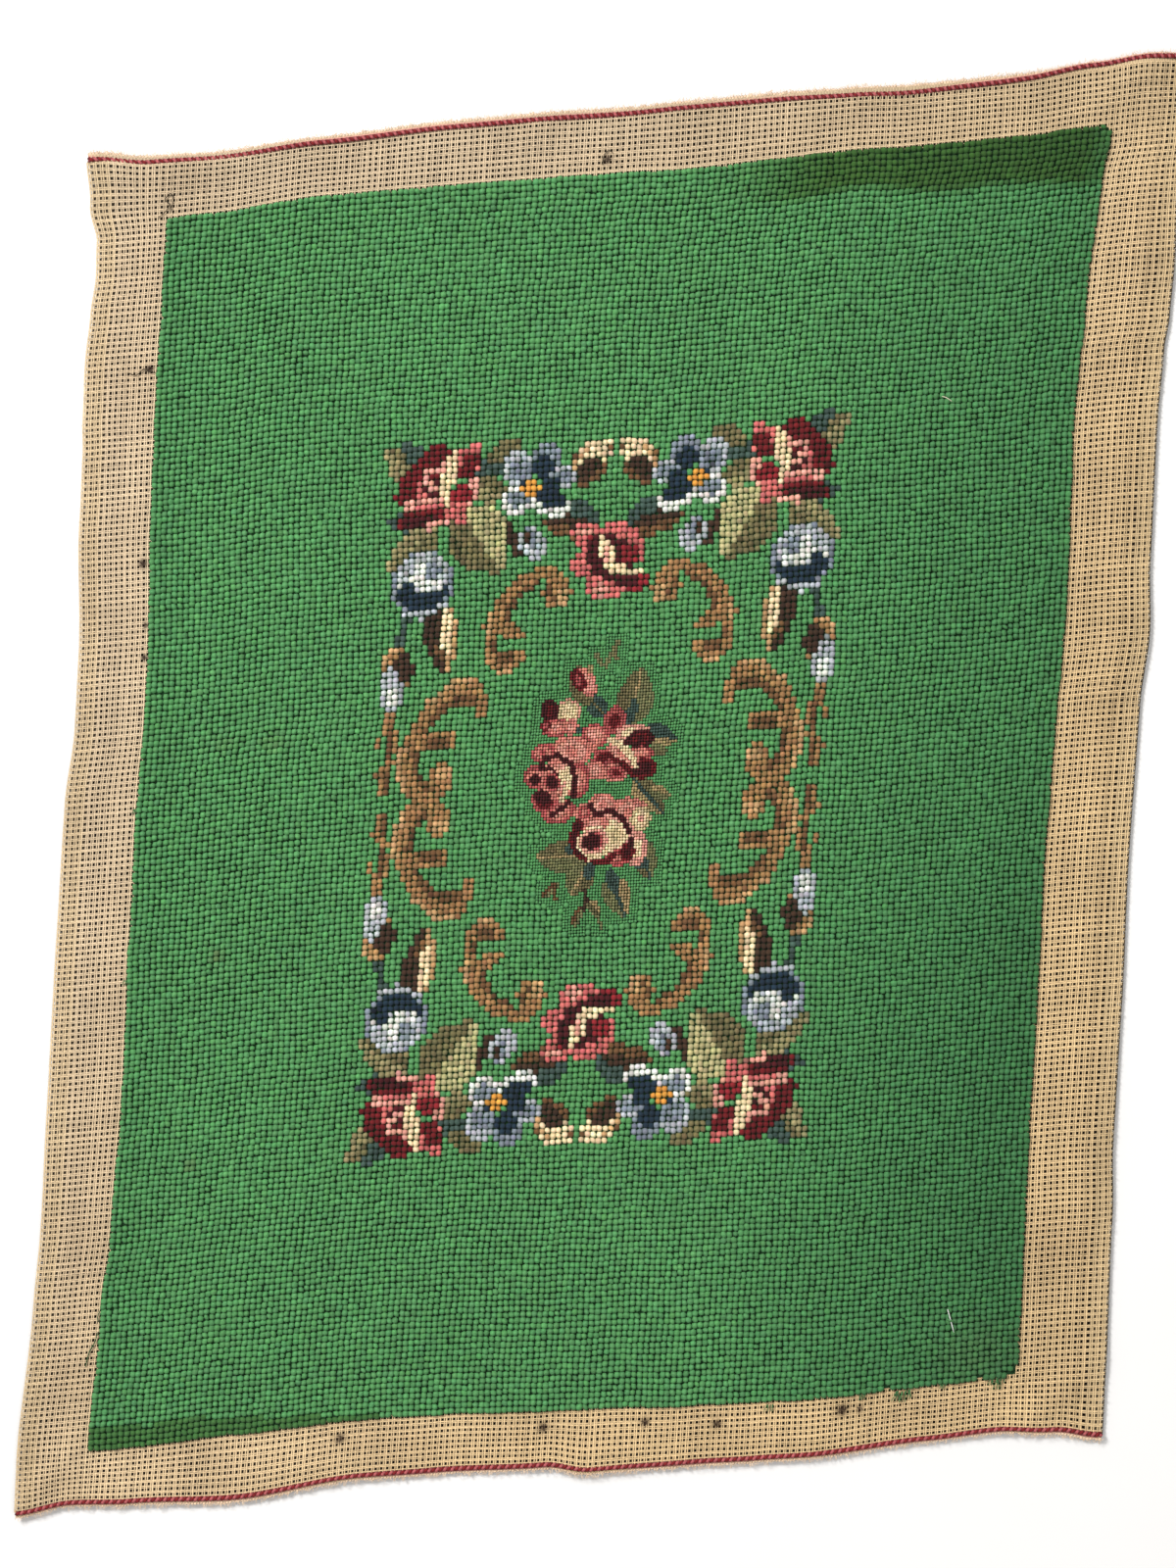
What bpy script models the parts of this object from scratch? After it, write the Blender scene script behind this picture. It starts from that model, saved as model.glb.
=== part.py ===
"""Worked needlepoint canvas panel, lying face up: canvas, front wool, back wool, pin.

A pre-worked panel of double-thread (penelope) canvas, as sold for a seat or a
footstool: wool fills a large field, and a bare margin of open canvas is left all
round. The slanted stitches have pulled the cloth out of square, so its rows climb to
the right and its columns lean to the left.

Places on the cloth are counted in meshes of the canvas. Column 0, row 0 is the top
left corner of the wool field. Columns run to the right and rows run down.
"""
import math

import bpy

# The canvas weave (metres, degrees)
MESH_ACROSS = 2.51e-3          # one column, about ten meshes to the inch
MESH_DOWN = 2.57e-3            # one row
ROW_CLIMB = 5.1                # rows climb to the right
COLUMN_LEAN = 3.7              # columns lean to the left going down

# The lay-out, in meshes
WOOL_COLUMNS = 160.0
WOOL_ROWS = 209.0
MARGIN_LEFT = 12.5
MARGIN_RIGHT = 14.0
MARGIN_TOP = 11.4
MARGIN_BOTTOM = 11.0
HEM = 3.1                      # raw side edges turned under
HEM_STEP = 0.4                 # width over which the hem's second layer starts

# The layers, from the table up (metres)
BACK_WOOL = 1.0e-3
CANVAS = 1.0e-3
FRONT_WOOL = 1.2e-3
GAP = 0.3e-3                   # clear space between two layers
EDGE_DROP = 0.45e-3            # the wool rounds off at the edge of the field
LOWEST_CANVAS = 0.2e-3         # the margins hang no lower than this

# The pin left in the lower right of the work
PIN_COLUMN = 147.8
PIN_ROW = 198.2
PIN_LENGTH = 10.2e-3
PIN_DIAMETER = 0.6e-3
PIN_TURN = -75.0               # from +X, anticlockwise
PIN_SIDES = 12

# How far each long line of the cloth has been drawn sideways, in meshes to the right:
# row, canvas left edge, wool left edge, wool right edge, canvas right edge
SIDE_WAVES = (
    (-11, -2.2, -0.4, 2.0, 1.0),
    (-3, -1.1, -0.4, 2.2, 0.8),
    (3, 0.5, -0.4, 2.2, 0.6),
    (9, 0.7, -0.4, 1.2, 0.3),
    (15, 0.2, -0.4, 0.7, 0.3),
    (24, -0.2, -0.4, 0.0, 0.5),
    (33, 0.0, -0.3, -0.3, 0.2),
    (39, 0.4, -0.2, -0.7, -0.4),
    (50, 0.6, 0.1, -1.0, -0.7),
    (74, 2.0, 1.1, -0.4, -0.4),
    (86, 2.1, 1.3, -0.3, 0.3),
    (98, 1.2, 0.9, -0.8, -0.6),
    (123, 1.3, 1.1, -1.2, -0.8),
    (147, 1.5, 1.6, -0.9, -0.4),
    (171, 1.8, 1.2, -0.8, -0.3),
    (184, 1.4, 0.4, -0.5, 0.4),
    (208, 0.2, -0.3, -0.1, 0.9),
    (220, 0.4, -0.4, 0.0, 1.1),
)

# The same for the cross lines, in meshes downward:
# column, canvas top edge, wool top edge, wool bottom edge, canvas bottom edge
END_WAVES = (
    (-12, 0.0, 1.0, -0.8, -1.6),
    (-3, 1.4, 1.0, -0.8, -2.7),
    (8, 1.8, 0.8, -1.0, -2.0),
    (26, 0.7, -0.4, -1.6, -0.9),
    (47, 0.0, -0.3, -2.2, -2.8),
    (60, 0.0, -0.1, -1.9, -2.6),
    (79, 0.4, 0.2, -0.9, -1.9),
    (87, 0.2, 0.6, -0.5, -0.3),
    (104, 0.2, 0.2, 0.4, -0.1),
    (116, 0.5, -0.2, 0.8, 0.2),
    (125, 0.9, 0.1, 1.2, 0.4),
    (145, 0.6, 0.0, 0.7, -0.6),
    (157, -0.3, -0.6, 0.4, -1.1),
    (166, -0.9, -0.9, 0.4, -0.1),
    (174, -0.4, -0.9, 0.6, 1.6),
)

# Soft ripples of the bare margin:
# column, row, half length, half width (meshes), turn (degrees), lift (millimetres)
RIPPLES = (
    (-8.0, -8.0, 8.0, 3.0, -42, 2.4),
    (9.0, -9.0, 13.0, 3.0, 6, 1.9),
    (33.0, -10.0, 10.0, 3.0, -3, -0.8),
    (62.0, -7.0, 6.0, 3.0, 55, 1.1),
    (84.0, -9.5, 14.0, 3.0, 0, 1.0),
    (118.0, -9.5, 13.0, 3.0, -2, 1.7),
    (140.0, -10.0, 7.0, 3.0, 0, -0.8),
    (164.0, -8.0, 9.0, 3.5, 28, 2.3),
    (168.5, 24.0, 14.0, 3.5, 88, 1.2),
    (169.0, 62.0, 12.0, 3.0, 92, 1.6),
    (169.5, 86.0, 10.0, 3.5, 88, 2.2),
    (168.0, 128.0, 20.0, 3.0, 90, 1.3),
    (170.0, 178.0, 13.0, 3.0, 86, 1.8),
    (166.0, 213.0, 9.0, 3.0, 40, 2.2),
    (140.0, 216.0, 9.0, 3.0, 4, -0.8),
    (122.0, 216.0, 12.0, 3.0, -3, 1.6),
    (88.0, 217.0, 8.0, 3.0, 10, 1.8),
    (58.0, 217.0, 14.0, 3.0, 0, -0.8),
    (42.0, 216.0, 12.0, 3.0, -6, 1.9),
    (14.0, 217.0, 12.0, 3.0, 5, 1.1),
    (-7.0, 213.0, 8.0, 3.0, 46, 2.0),
    (-8.0, 180.0, 14.0, 3.0, 90, 1.4),
    (-8.0, 132.0, 18.0, 3.0, 88, 1.0),
    (-8.0, 80.0, 15.0, 3.0, 93, 2.1),
    (-8.0, 32.0, 14.0, 3.0, 90, 1.2),
)
RIPPLE_START = 3.5             # meshes from the wool over which the ripples begin

# Lines of the faceted sheets, in meshes
FIELD_COLUMN_STEPS = 20
FIELD_ROW_STEPS = 22
LEFT_LINES = (-12.5, -12.5 + HEM, -12.5 + HEM + HEM_STEP, -5.6, -2.8)
RIGHT_LINES = (2.8, 5.6, 8.4, 14.0 - HEM - HEM_STEP, 14.0 - HEM, 14.0)
TOP_LINES = (-11.4, -8.8, -6.0, -3.0)
BOTTOM_LINES = (3.0, 6.0, 8.6, 11.0)

# Colours (linear red, green, blue) and finish
LINEN_COLOUR = (0.55, 0.40, 0.23)
GREEN_COLOUR = (0.075, 0.27, 0.095)
BACK_COLOUR = (0.065, 0.23, 0.085)
STEEL_COLOUR = (0.55, 0.55, 0.56)


def ease(t):
    """Smooth step from 0 to 1."""
    t = min(1.0, max(0.0, t))
    return t * t * (3.0 - 2.0 * t)


def along(table, place, entry):
    """Value of one table column at a place, eased from each line to the next."""
    if place <= table[0][0]:
        return table[0][entry]
    for before, after in zip(table, table[1:]):
        if place <= after[0]:
            t = ease((place - before[0]) / (after[0] - before[0]))
            return before[entry] + (after[entry] - before[entry]) * t
    return table[-1][entry]


def between(lines, values, place):
    """Straight-line value at a place between four long lines of the cloth."""
    if place <= lines[0]:
        return values[0]
    for k in range(len(lines) - 1):
        if place <= lines[k + 1]:
            t = (place - lines[k]) / (lines[k + 1] - lines[k])
            return values[k] + (values[k + 1] - values[k]) * t
    return values[-1]


COLUMN_LINES = (-MARGIN_LEFT, 0.0, WOOL_COLUMNS, WOOL_COLUMNS + MARGIN_RIGHT)
ROW_LINES = (-MARGIN_TOP, 0.0, WOOL_ROWS, WOOL_ROWS + MARGIN_BOTTOM)


def flat_place(column, row):
    """X and Y of a mesh of the drawn and leaning cloth, before it is centred."""
    side = [along(SIDE_WAVES, row, entry) for entry in (1, 2, 3, 4)]
    end = [along(END_WAVES, column, entry) for entry in (1, 2, 3, 4)]
    across = (column + between(COLUMN_LINES, side, column)) * MESH_ACROSS
    down = (row + between(ROW_LINES, end, row)) * MESH_DOWN
    climb = math.radians(ROW_CLIMB)
    lean = math.radians(COLUMN_LEAN)
    x = across * math.cos(climb) - down * math.sin(lean)
    y = across * math.sin(climb) - down * math.cos(lean)
    return x, y


def ripple(column, row):
    """Lift of the bare margin above its resting level, none within the wool."""
    outside = max(-column, column - WOOL_COLUMNS, -row, row - WOOL_ROWS, 0.0)
    lift = 0.0
    for at_column, at_row, half_length, half_width, turn, height in RIPPLES:
        turned = math.radians(turn)
        right = column - at_column
        up = at_row - row
        u = right * math.cos(turned) + up * math.sin(turned)
        v = up * math.cos(turned) - right * math.sin(turned)
        lift += height * 1e-3 * math.exp(-(u / half_length) ** 2 - (v / half_width) ** 2)
    return lift * ease(outside / RIPPLE_START)


def field_swell(column, row):
    """Slow unevenness of the wool's face."""
    wave = math.sin(column / 13.0 + 0.6) * math.sin(row / 17.0 + 0.9)
    return 0.12e-3 * wave


CANVAS_UNDER = BACK_WOOL + GAP
CANVAS_TOP = CANVAS_UNDER + CANVAS
WOOL_UNDER = CANVAS_TOP + GAP
WOOL_TOP = WOOL_UNDER + FRONT_WOOL


def canvas_top(column, row):
    """Face of the canvas."""
    return max(CANVAS_TOP + ripple(column, row), LOWEST_CANVAS + CANVAS)


def canvas_under(column, row):
    """Back of the canvas, one layer lower where the side edges are turned under."""
    from_side = min(column + MARGIN_LEFT, WOOL_COLUMNS + MARGIN_RIGHT - column)
    single = canvas_top(column, row) - CANVAS
    if from_side > HEM + 0.5 * HEM_STEP:
        return single
    return max(single - CANVAS, LOWEST_CANVAS)


def wool_top(column, row):
    """Face of the front stitches, rounding off at the edge of the field."""
    inside = min(column, WOOL_COLUMNS - column, row, WOOL_ROWS - row)
    if inside <= 0.0:
        return WOOL_TOP - EDGE_DROP
    return WOOL_TOP + field_swell(column, row)


def wool_under(column, row):
    """Where the front stitches meet the canvas."""
    return WOOL_UNDER


def back_top(column, row):
    """Where the back stitches meet the canvas."""
    return BACK_WOOL


def back_under(column, row):
    """The side that lies on the table."""
    return 0.0


def even_steps(first, last, count):
    """Evenly spaced lines from first to last."""
    return [first + (last - first) * k / count for k in range(count + 1)]


def find_centre():
    """Middle of the panel's bounding rectangle, from its four edges."""
    edge = []
    left, right = COLUMN_LINES[0], COLUMN_LINES[-1]
    top, bottom = ROW_LINES[0], ROW_LINES[-1]
    for column in canvas_columns():
        edge.append(flat_place(column, top))
        edge.append(flat_place(column, bottom))
    for row in canvas_rows():
        edge.append(flat_place(left, row))
        edge.append(flat_place(right, row))
    xs = [point[0] for point in edge]
    ys = [point[1] for point in edge]
    return 0.5 * (min(xs) + max(xs)), 0.5 * (min(ys) + max(ys))


def canvas_columns():
    """Column lines of the canvas, close together in the margins."""
    field = even_steps(0.0, WOOL_COLUMNS, FIELD_COLUMN_STEPS)
    return list(LEFT_LINES) + field + [WOOL_COLUMNS + line for line in RIGHT_LINES]


def canvas_rows():
    """Row lines of the canvas, close together in the margins."""
    field = even_steps(0.0, WOOL_ROWS, FIELD_ROW_STEPS)
    return list(TOP_LINES) + field + [WOOL_ROWS + line for line in BOTTOM_LINES]


def field_lines(length, steps):
    """Lines of a wool layer, with one close to each edge for the rounding."""
    lines = even_steps(0.0, length, steps)
    return [lines[0], 1.2] + lines[1:-1] + [length - 1.2, lines[-1]]


def material(name, colour, roughness, metallic):
    """Plain named finish."""
    made = bpy.data.materials.new(name)
    made.use_nodes = True
    shader = made.node_tree.nodes["Principled BSDF"]
    shader.inputs["Base Color"].default_value = (*colour, 1.0)
    shader.inputs["Roughness"].default_value = roughness
    shader.inputs["Metallic"].default_value = metallic
    made.diffuse_color = (*colour, 1.0)
    return made


def add_object(name, points, faces, finish):
    """Object from points and faces."""
    mesh = bpy.data.meshes.new(name)
    mesh.from_pydata(points, [], faces)
    mesh.materials.append(finish)
    mesh.update()
    made = bpy.data.objects.new(name, mesh)
    bpy.context.scene.collection.objects.link(made)
    return made


def layer(name, columns, rows, top, under, centre, finish, flat_under=False):
    """Closed sheet over a grid of meshes, with its own face and back heights."""
    wide = len(columns)
    tall = len(rows)
    points = []
    for height in (top, under):
        for row in rows:
            for column in columns:
                x, y = flat_place(column, row)
                points.append((x - centre[0], y - centre[1], height(column, row)))
    low = wide * tall
    faces = []
    for r in range(tall - 1):
        for c in range(wide - 1):
            a = r * wide + c
            b, d = a + 1, a + wide
            e = d + 1
            faces.append((a, d, e))
            faces.append((a, e, b))
            if not flat_under:
                faces.append((low + a, low + e, low + d))
                faces.append((low + a, low + b, low + e))
    rim = list(range(wide))
    rim += [r * wide + wide - 1 for r in range(1, tall)]
    rim += [(tall - 1) * wide + c for c in range(wide - 2, -1, -1)]
    rim += [r * wide for r in range(tall - 2, 0, -1)]
    for k, a in enumerate(rim):
        b = rim[(k + 1) % len(rim)]
        faces.append((a, b, low + b))
        faces.append((a, low + b, low + a))
    if flat_under:
        faces.append(tuple(low + k for k in rim))
        used = sorted({k for face in faces for k in face})
        new = {old: k for k, old in enumerate(used)}
        points = [points[k] for k in used]
        faces = [tuple(new[k] for k in face) for face in faces]
    return add_object(name, points, faces, finish)


def pin(centre, finish):
    """Straight shank lying on the stitches, with a blunt end and a fine point."""
    x, y = flat_place(PIN_COLUMN, PIN_ROW)
    middle = (x - centre[0], y - centre[1], WOOL_TOP + 0.15e-3 + GAP + 0.5 * PIN_DIAMETER)
    turn = math.radians(PIN_TURN)
    ahead = (math.cos(turn), math.sin(turn))
    stations = ((-0.5, 1.0), (0.28, 1.0), (0.5, 0.34))
    points = []
    for place, share in stations:
        radius = 0.5 * PIN_DIAMETER * share
        for side in range(PIN_SIDES):
            angle = 2.0 * math.pi * side / PIN_SIDES
            out = radius * math.cos(angle)
            up = radius * math.sin(angle)
            points.append((
                middle[0] + ahead[0] * place * PIN_LENGTH - ahead[1] * out,
                middle[1] + ahead[1] * place * PIN_LENGTH + ahead[0] * out,
                middle[2] + up,
            ))
    faces = [tuple(range(PIN_SIDES - 1, -1, -1))]
    for ring in range(len(stations) - 1):
        for side in range(PIN_SIDES):
            a = ring * PIN_SIDES + side
            b = ring * PIN_SIDES + (side + 1) % PIN_SIDES
            faces.append((a, b, b + PIN_SIDES, a + PIN_SIDES))
    last = (len(stations) - 1) * PIN_SIDES
    faces.append(tuple(last + side for side in range(PIN_SIDES)))
    return add_object("pin", points, faces, finish)


for old in list(bpy.data.objects):
    bpy.data.objects.remove(old, do_unlink=True)

centre = find_centre()
linen = material("linen", LINEN_COLOUR, 0.9, 0.0)
front_wool = material("front_wool", GREEN_COLOUR, 0.95, 0.0)
back_wool = material("back_wool", BACK_COLOUR, 0.95, 0.0)
steel = material("steel", STEEL_COLOUR, 0.3, 1.0)

wool_columns = field_lines(WOOL_COLUMNS, FIELD_COLUMN_STEPS)
wool_rows = field_lines(WOOL_ROWS, FIELD_ROW_STEPS)

layer("canvas", canvas_columns(), canvas_rows(), canvas_top, canvas_under, centre, linen)
layer("wool_front", wool_columns, wool_rows, wool_top, wool_under, centre, front_wool)
layer("wool_back", wool_columns, wool_rows, back_top, back_under, centre, back_wool,
      flat_under=True)
pin(centre, steel)
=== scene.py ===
# %% [markdown]
# # A worked needlepoint canvas, stitch by stitch
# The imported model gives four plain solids: the open-weave canvas, the wool on its face,
# the wool on its back and a steel pin. Here each of them gets its real surface. Places
# are counted in meshes of the canvas, as a stitcher counts them: column 0, row 0 is the
# top left corner of the wool, columns run right and rows run down.

import math

import bpy
import numpy as np
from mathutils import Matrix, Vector


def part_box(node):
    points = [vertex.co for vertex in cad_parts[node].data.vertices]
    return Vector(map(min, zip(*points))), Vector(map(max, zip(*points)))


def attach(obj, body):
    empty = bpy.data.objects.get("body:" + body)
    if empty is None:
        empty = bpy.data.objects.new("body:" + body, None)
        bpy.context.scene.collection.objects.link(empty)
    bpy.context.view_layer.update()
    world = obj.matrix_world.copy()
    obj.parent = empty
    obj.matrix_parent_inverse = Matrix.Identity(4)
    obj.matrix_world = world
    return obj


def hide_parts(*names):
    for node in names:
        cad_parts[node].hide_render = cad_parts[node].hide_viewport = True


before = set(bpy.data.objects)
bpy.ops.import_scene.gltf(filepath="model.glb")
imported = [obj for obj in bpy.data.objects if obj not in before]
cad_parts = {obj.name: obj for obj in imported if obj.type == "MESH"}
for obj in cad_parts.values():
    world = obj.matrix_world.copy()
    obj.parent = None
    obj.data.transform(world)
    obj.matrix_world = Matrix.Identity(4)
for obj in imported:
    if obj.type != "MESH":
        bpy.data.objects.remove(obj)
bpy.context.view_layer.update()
RANDOM = np.random.default_rng(1871)

# %% [markdown]
# ## The cloth's grid
# The slanted stitches have pulled the canvas out of square: rows climb to the right and
# columns lean to the left, and each long edge wanders by a mesh or two. One function
# turns a column and a row into a place on the table, so every stitch and thread that is
# laid out later in plain meshes follows the pull of the cloth.

# %% Sizes of the cloth
MESH_ACROSS = 2.51e-3
MESH_DOWN = 2.57e-3
ROW_CLIMB = math.radians(5.1)
COLUMN_LEAN = math.radians(3.7)
COLUMNS = 160
ROWS = 209
LEFT = -12.5
RIGHT = COLUMNS + 14.0
TOP = -11.4
BOTTOM = ROWS + 11.0
HEM = 3.1

# row, canvas left edge, wool left edge, wool right edge, canvas right edge:
# how far each has been drawn to the right, in meshes
SIDE_WAVES = (
    (-11, -2.2, -0.4, 2, 1),
    (-3, -1.1, -0.4, 2.2, 0.8),
    (3, 0.5, -0.4, 2.2, 0.6),
    (9, 0.7, -0.4, 1.2, 0.3),
    (15, 0.2, -0.4, 0.7, 0.3),
    (24, -0.2, -0.4, 0, 0.5),
    (33, 0, -0.3, -0.3, 0.2),
    (39, 0.4, -0.2, -0.7, -0.4),
    (50, 0.6, 0.1, -1, -0.7),
    (74, 2, 1.1, -0.4, -0.4),
    (86, 2.1, 1.3, -0.3, 0.3),
    (98, 1.2, 0.9, -0.8, -0.6),
    (123, 1.3, 1.1, -1.2, -0.8),
    (147, 1.5, 1.6, -0.9, -0.4),
    (171, 1.8, 1.2, -0.8, -0.3),
    (184, 1.4, 0.4, -0.5, 0.4),
    (208, 0.2, -0.3, -0.1, 0.9),
    (220, 0.4, -0.4, 0, 1.1),
)
# column, canvas top edge, wool top edge, wool bottom edge, canvas bottom edge:
# how far each has been drawn down, in meshes
END_WAVES = (
    (-12, 0, 1, -0.8, -1.6),
    (-3, 1.4, 1, -0.8, -2.7),
    (8, 1.8, 0.8, -1, -2),
    (26, 0.7, -0.4, -1.6, -0.9),
    (47, 0, -0.3, -2.2, -2.8),
    (60, 0, -0.1, -1.9, -2.6),
    (79, 0.4, 0.2, -0.9, -1.9),
    (87, 0.2, 0.6, -0.5, -0.3),
    (104, 0.2, 0.2, 0.4, -0.1),
    (116, 0.5, -0.2, 0.8, 0.2),
    (125, 0.9, 0.1, 1.2, 0.4),
    (145, 0.6, 0, 0.7, -0.6),
    (157, -0.3, -0.6, 0.4, -1.1),
    (166, -0.9, -0.9, 0.4, -0.1),
    (174, -0.4, -0.9, 0.6, 1.6),
)


def ease(t):
    """Smooth step from 0 to 1."""
    t = np.clip(t, 0.0, 1.0)
    return t * t * (3.0 - 2.0 * t)


def mix(one, other, share):
    """One colour with a share of another in it."""
    return one * (1 - share) + other * share


def vary(spread, *shape):
    """Chance factors close to 1."""
    return 1.0 + RANDOM.normal(0.0, spread, shape)


def along(table, place, entry):
    """Values of one column of a table, eased from each line to the next."""
    at = np.array([line[0] for line in table], dtype=float)
    value = np.array([line[entry] for line in table])
    k = np.clip(np.searchsorted(at, place, side="left") - 1, 0, len(at) - 2)
    t = ease((place - at[k]) / (at[k + 1] - at[k]))
    return value[k] + (value[k + 1] - value[k]) * t


def between(lines, values, place):
    """Straight-line values at a place between four long lines of the cloth."""
    k = np.clip(np.searchsorted(lines, place) - 1, 0, 2)
    lines = np.array(lines)
    t = np.clip((place - lines[k]) / (lines[k + 1] - lines[k]), 0.0, 1.0)
    values = np.array(values)
    every = np.arange(values.shape[1])
    return values[k, every] + (values[k + 1, every] - values[k, every]) * t


def flat_place(column, row):
    """X and Y of meshes of the cloth, before it is centred."""
    side = [along(SIDE_WAVES, row, entry) for entry in (1, 2, 3, 4)]
    end = [along(END_WAVES, column, entry) for entry in (1, 2, 3, 4)]
    across = (column + between((LEFT, 0.0, COLUMNS, RIGHT), side, column)) * MESH_ACROSS
    down = (row + between((TOP, 0.0, ROWS, BOTTOM), end, row)) * MESH_DOWN
    x = across * math.cos(ROW_CLIMB) - down * math.sin(COLUMN_LEAN)
    y = across * math.sin(ROW_CLIMB) - down * math.cos(COLUMN_LEAN)
    return x, y


# %% Where the cloth lies on the table
def find_shift():
    """From the cloth's own corner to the frame, by matching the canvas solid's box."""
    column = np.linspace(LEFT, RIGHT, 200)
    row = np.linspace(TOP, BOTTOM, 240)
    edge_columns = np.concatenate([column, column, np.full(240, LEFT), np.full(240, RIGHT)])
    edge_rows = np.concatenate([np.full(200, TOP), np.full(200, BOTTOM), row, row])
    x, y = flat_place(edge_columns, edge_rows)
    low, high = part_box("canvas")
    shift_x = 0.5 * (low[0] + high[0]) - 0.5 * (x.min() + x.max())
    shift_y = 0.5 * (low[1] + high[1]) - 0.5 * (y.min() + y.max())
    return shift_x, shift_y


SHIFT = find_shift()


def lie(column, row, height):
    """Points at meshes of the cloth and a height above the table."""
    column, row, height = np.broadcast_arrays(
        np.asarray(column, float), np.asarray(row, float), np.asarray(height, float))
    shape = column.shape
    x, y = flat_place(column.ravel(), row.ravel())
    points = np.stack([x + SHIFT[0], y + SHIFT[1], height.ravel()], axis=-1)
    return points.reshape(shape + (3,))


print("cloth shifted by, metres:", [round(float(s), 5) for s in SHIFT])

# %% [markdown]
# ## The ripples of the bare margin
# The wool holds the middle flat. The bare canvas round it is looser, and it cockles in
# long soft waves. Each wave is one rounded hill from a short table, faded out near the
# wool, so that threads and stitches can all ask for the canvas's height at their place.

# %% Heights of the layers
CANVAS_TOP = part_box("wool_front")[0][2] - 0.3e-3
CANVAS_LOW = 1.2e-3
WOOL_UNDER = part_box("wool_front")[0][2]
WOOL_TOP = 3.8e-3
STITCH_ROOT = WOOL_UNDER - 0.2e-3
FINE_DROP = 0.25e-3
# column, row, half length, half width (meshes), turn (degrees), lift (millimetres)
RIPPLES = (
    (-8, -8, 8, 3, -42, 2.4),
    (9, -9, 13, 3, 6, 1.9),
    (33, -10, 10, 3, -3, -0.8),
    (62, -7, 6, 3, 55, 1.1),
    (84, -9.5, 14, 3, 0, 1),
    (118, -9.5, 13, 3, -2, 1.7),
    (140, -10, 7, 3, 0, -0.8),
    (164, -8, 9, 3.5, 28, 2.3),
    (168.5, 24, 14, 3.5, 88, 1.2),
    (169, 62, 12, 3, 92, 1.6),
    (169.5, 86, 10, 3.5, 88, 2.2),
    (168, 128, 20, 3, 90, 1.3),
    (170, 178, 13, 3, 86, 1.8),
    (166, 213, 9, 3, 40, 2.2),
    (140, 216, 9, 3, 4, -0.8),
    (122, 216, 12, 3, -3, 1.6),
    (88, 217, 8, 3, 10, 1.8),
    (58, 217, 14, 3, 0, -0.8),
    (42, 216, 12, 3, -6, 1.9),
    (14, 217, 12, 3, 5, 1.1),
    (-7, 213, 8, 3, 46, 2),
    (-8, 180, 14, 3, 90, 1.4),
    (-8, 132, 18, 3, 88, 1),
    (-8, 80, 15, 3, 93, 2.1),
    (-8, 32, 14, 3, 90, 1.2),
)
RIPPLE_START = 3.5


def canvas_height(column, row):
    """Height of the canvas's face, in metres."""
    outside = np.maximum.reduce([-column, column - COLUMNS, -row, row - ROWS, 0.0 * row])
    lift = np.zeros(np.shape(column))
    for at_column, at_row, half_length, half_width, turn, height in RIPPLES:
        turned = math.radians(turn)
        right = column - at_column
        up = at_row - row
        u = right * math.cos(turned) + up * math.sin(turned)
        v = up * math.cos(turned) - right * math.sin(turned)
        lift += height * 1e-3 * np.exp(-(u / half_length) ** 2 - (v / half_width) ** 2)
    return np.maximum(CANVAS_TOP + lift * ease(outside / RIPPLE_START), CANVAS_LOW)


# %% [markdown]
# ## From arrays to a mesh
# A worked canvas has some forty thousand stitches. Objects or instances for each would
# be slow, so a stitch is a small pattern of points, numpy lays it at every mesh, and one
# mesh holds them all. The helper also stores each stitch's yarn colour on its points
# and a flat map in meshes, which a fine texture can follow.

# %% The mesh helper
def put_in_scene(name, data):
    """A new object for a mesh, a lamp or a camera."""
    made = bpy.data.objects.new(name, data)
    bpy.context.scene.collection.objects.link(made)
    return made


def gather(parts):
    """Several sets of points, faces, places and colours as one."""
    start = np.cumsum([0] + [part[0].size // 3 for part in parts[:-1]])
    points = np.concatenate([part[0].reshape(-1, 3) for part in parts])
    faces = np.concatenate([part[1] + first for part, first in zip(parts, start)])
    places = np.concatenate([part[2].reshape(-1, 2) for part in parts])
    colours = np.concatenate([part[3] for part in parts])
    return points, faces, places, colours


def cloth_piece(name, finish, parts, smooth=True):
    """A piece from parts, each of points, faces, the meshes they lie at and yarn colours."""
    points, faces, places, yarn = gather(parts)
    mesh = bpy.data.meshes.new(name)
    mesh.from_pydata(points, [], faces)
    mesh.materials.append(finish)
    if smooth:
        mesh.shade_smooth()
    corner = np.empty(len(mesh.loops), dtype=np.int32)
    mesh.loops.foreach_get("vertex_index", corner)
    flat = places[corner]
    flat = np.stack([(flat[:, 0] - LEFT + 1.0) / (RIGHT - LEFT + 2.0),
                     (BOTTOM + 1.0 - flat[:, 1]) / (BOTTOM - TOP + 2.0)], axis=-1)
    uv_map = mesh.uv_layers.new(name="OFBake")
    uv_map.data.foreach_set("uv", flat.astype(np.float32).ravel())
    domain = "POINT" if len(yarn) == len(mesh.vertices) else "CORNER"
    layer = mesh.color_attributes.new(name="yarn", type="FLOAT_COLOR", domain=domain)
    rgba = np.concatenate([yarn, np.ones((len(yarn), 1))], axis=1)
    layer.data.foreach_set("color", rgba.astype(np.float32).ravel())
    mesh.update()
    piece = put_in_scene(name, mesh)
    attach(piece, "root")
    print(f"{name}: {len(mesh.vertices)} points, {(faces.shape[1] - 2) * len(faces)} triangles")
    return piece


# %% [markdown]
# ## Finishes
# Wool and cotton scatter light softly and show no gloss, but each has its own grain:
# wool has fine fibres that run along the stitch, cotton thread has slubs and a twist.
# Each effect is a node group, so that several materials can use it with other values.

# %% Node helpers
def add_node(tree, kind, **settings):
    """A shader node with its properties and input values set by name."""
    node = tree.nodes.new(kind)
    for name, value in settings.items():
        if hasattr(node, name):
            setattr(node, name, value)
        else:
            node.inputs[name.replace("_", " ")].default_value = value
    return node


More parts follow.
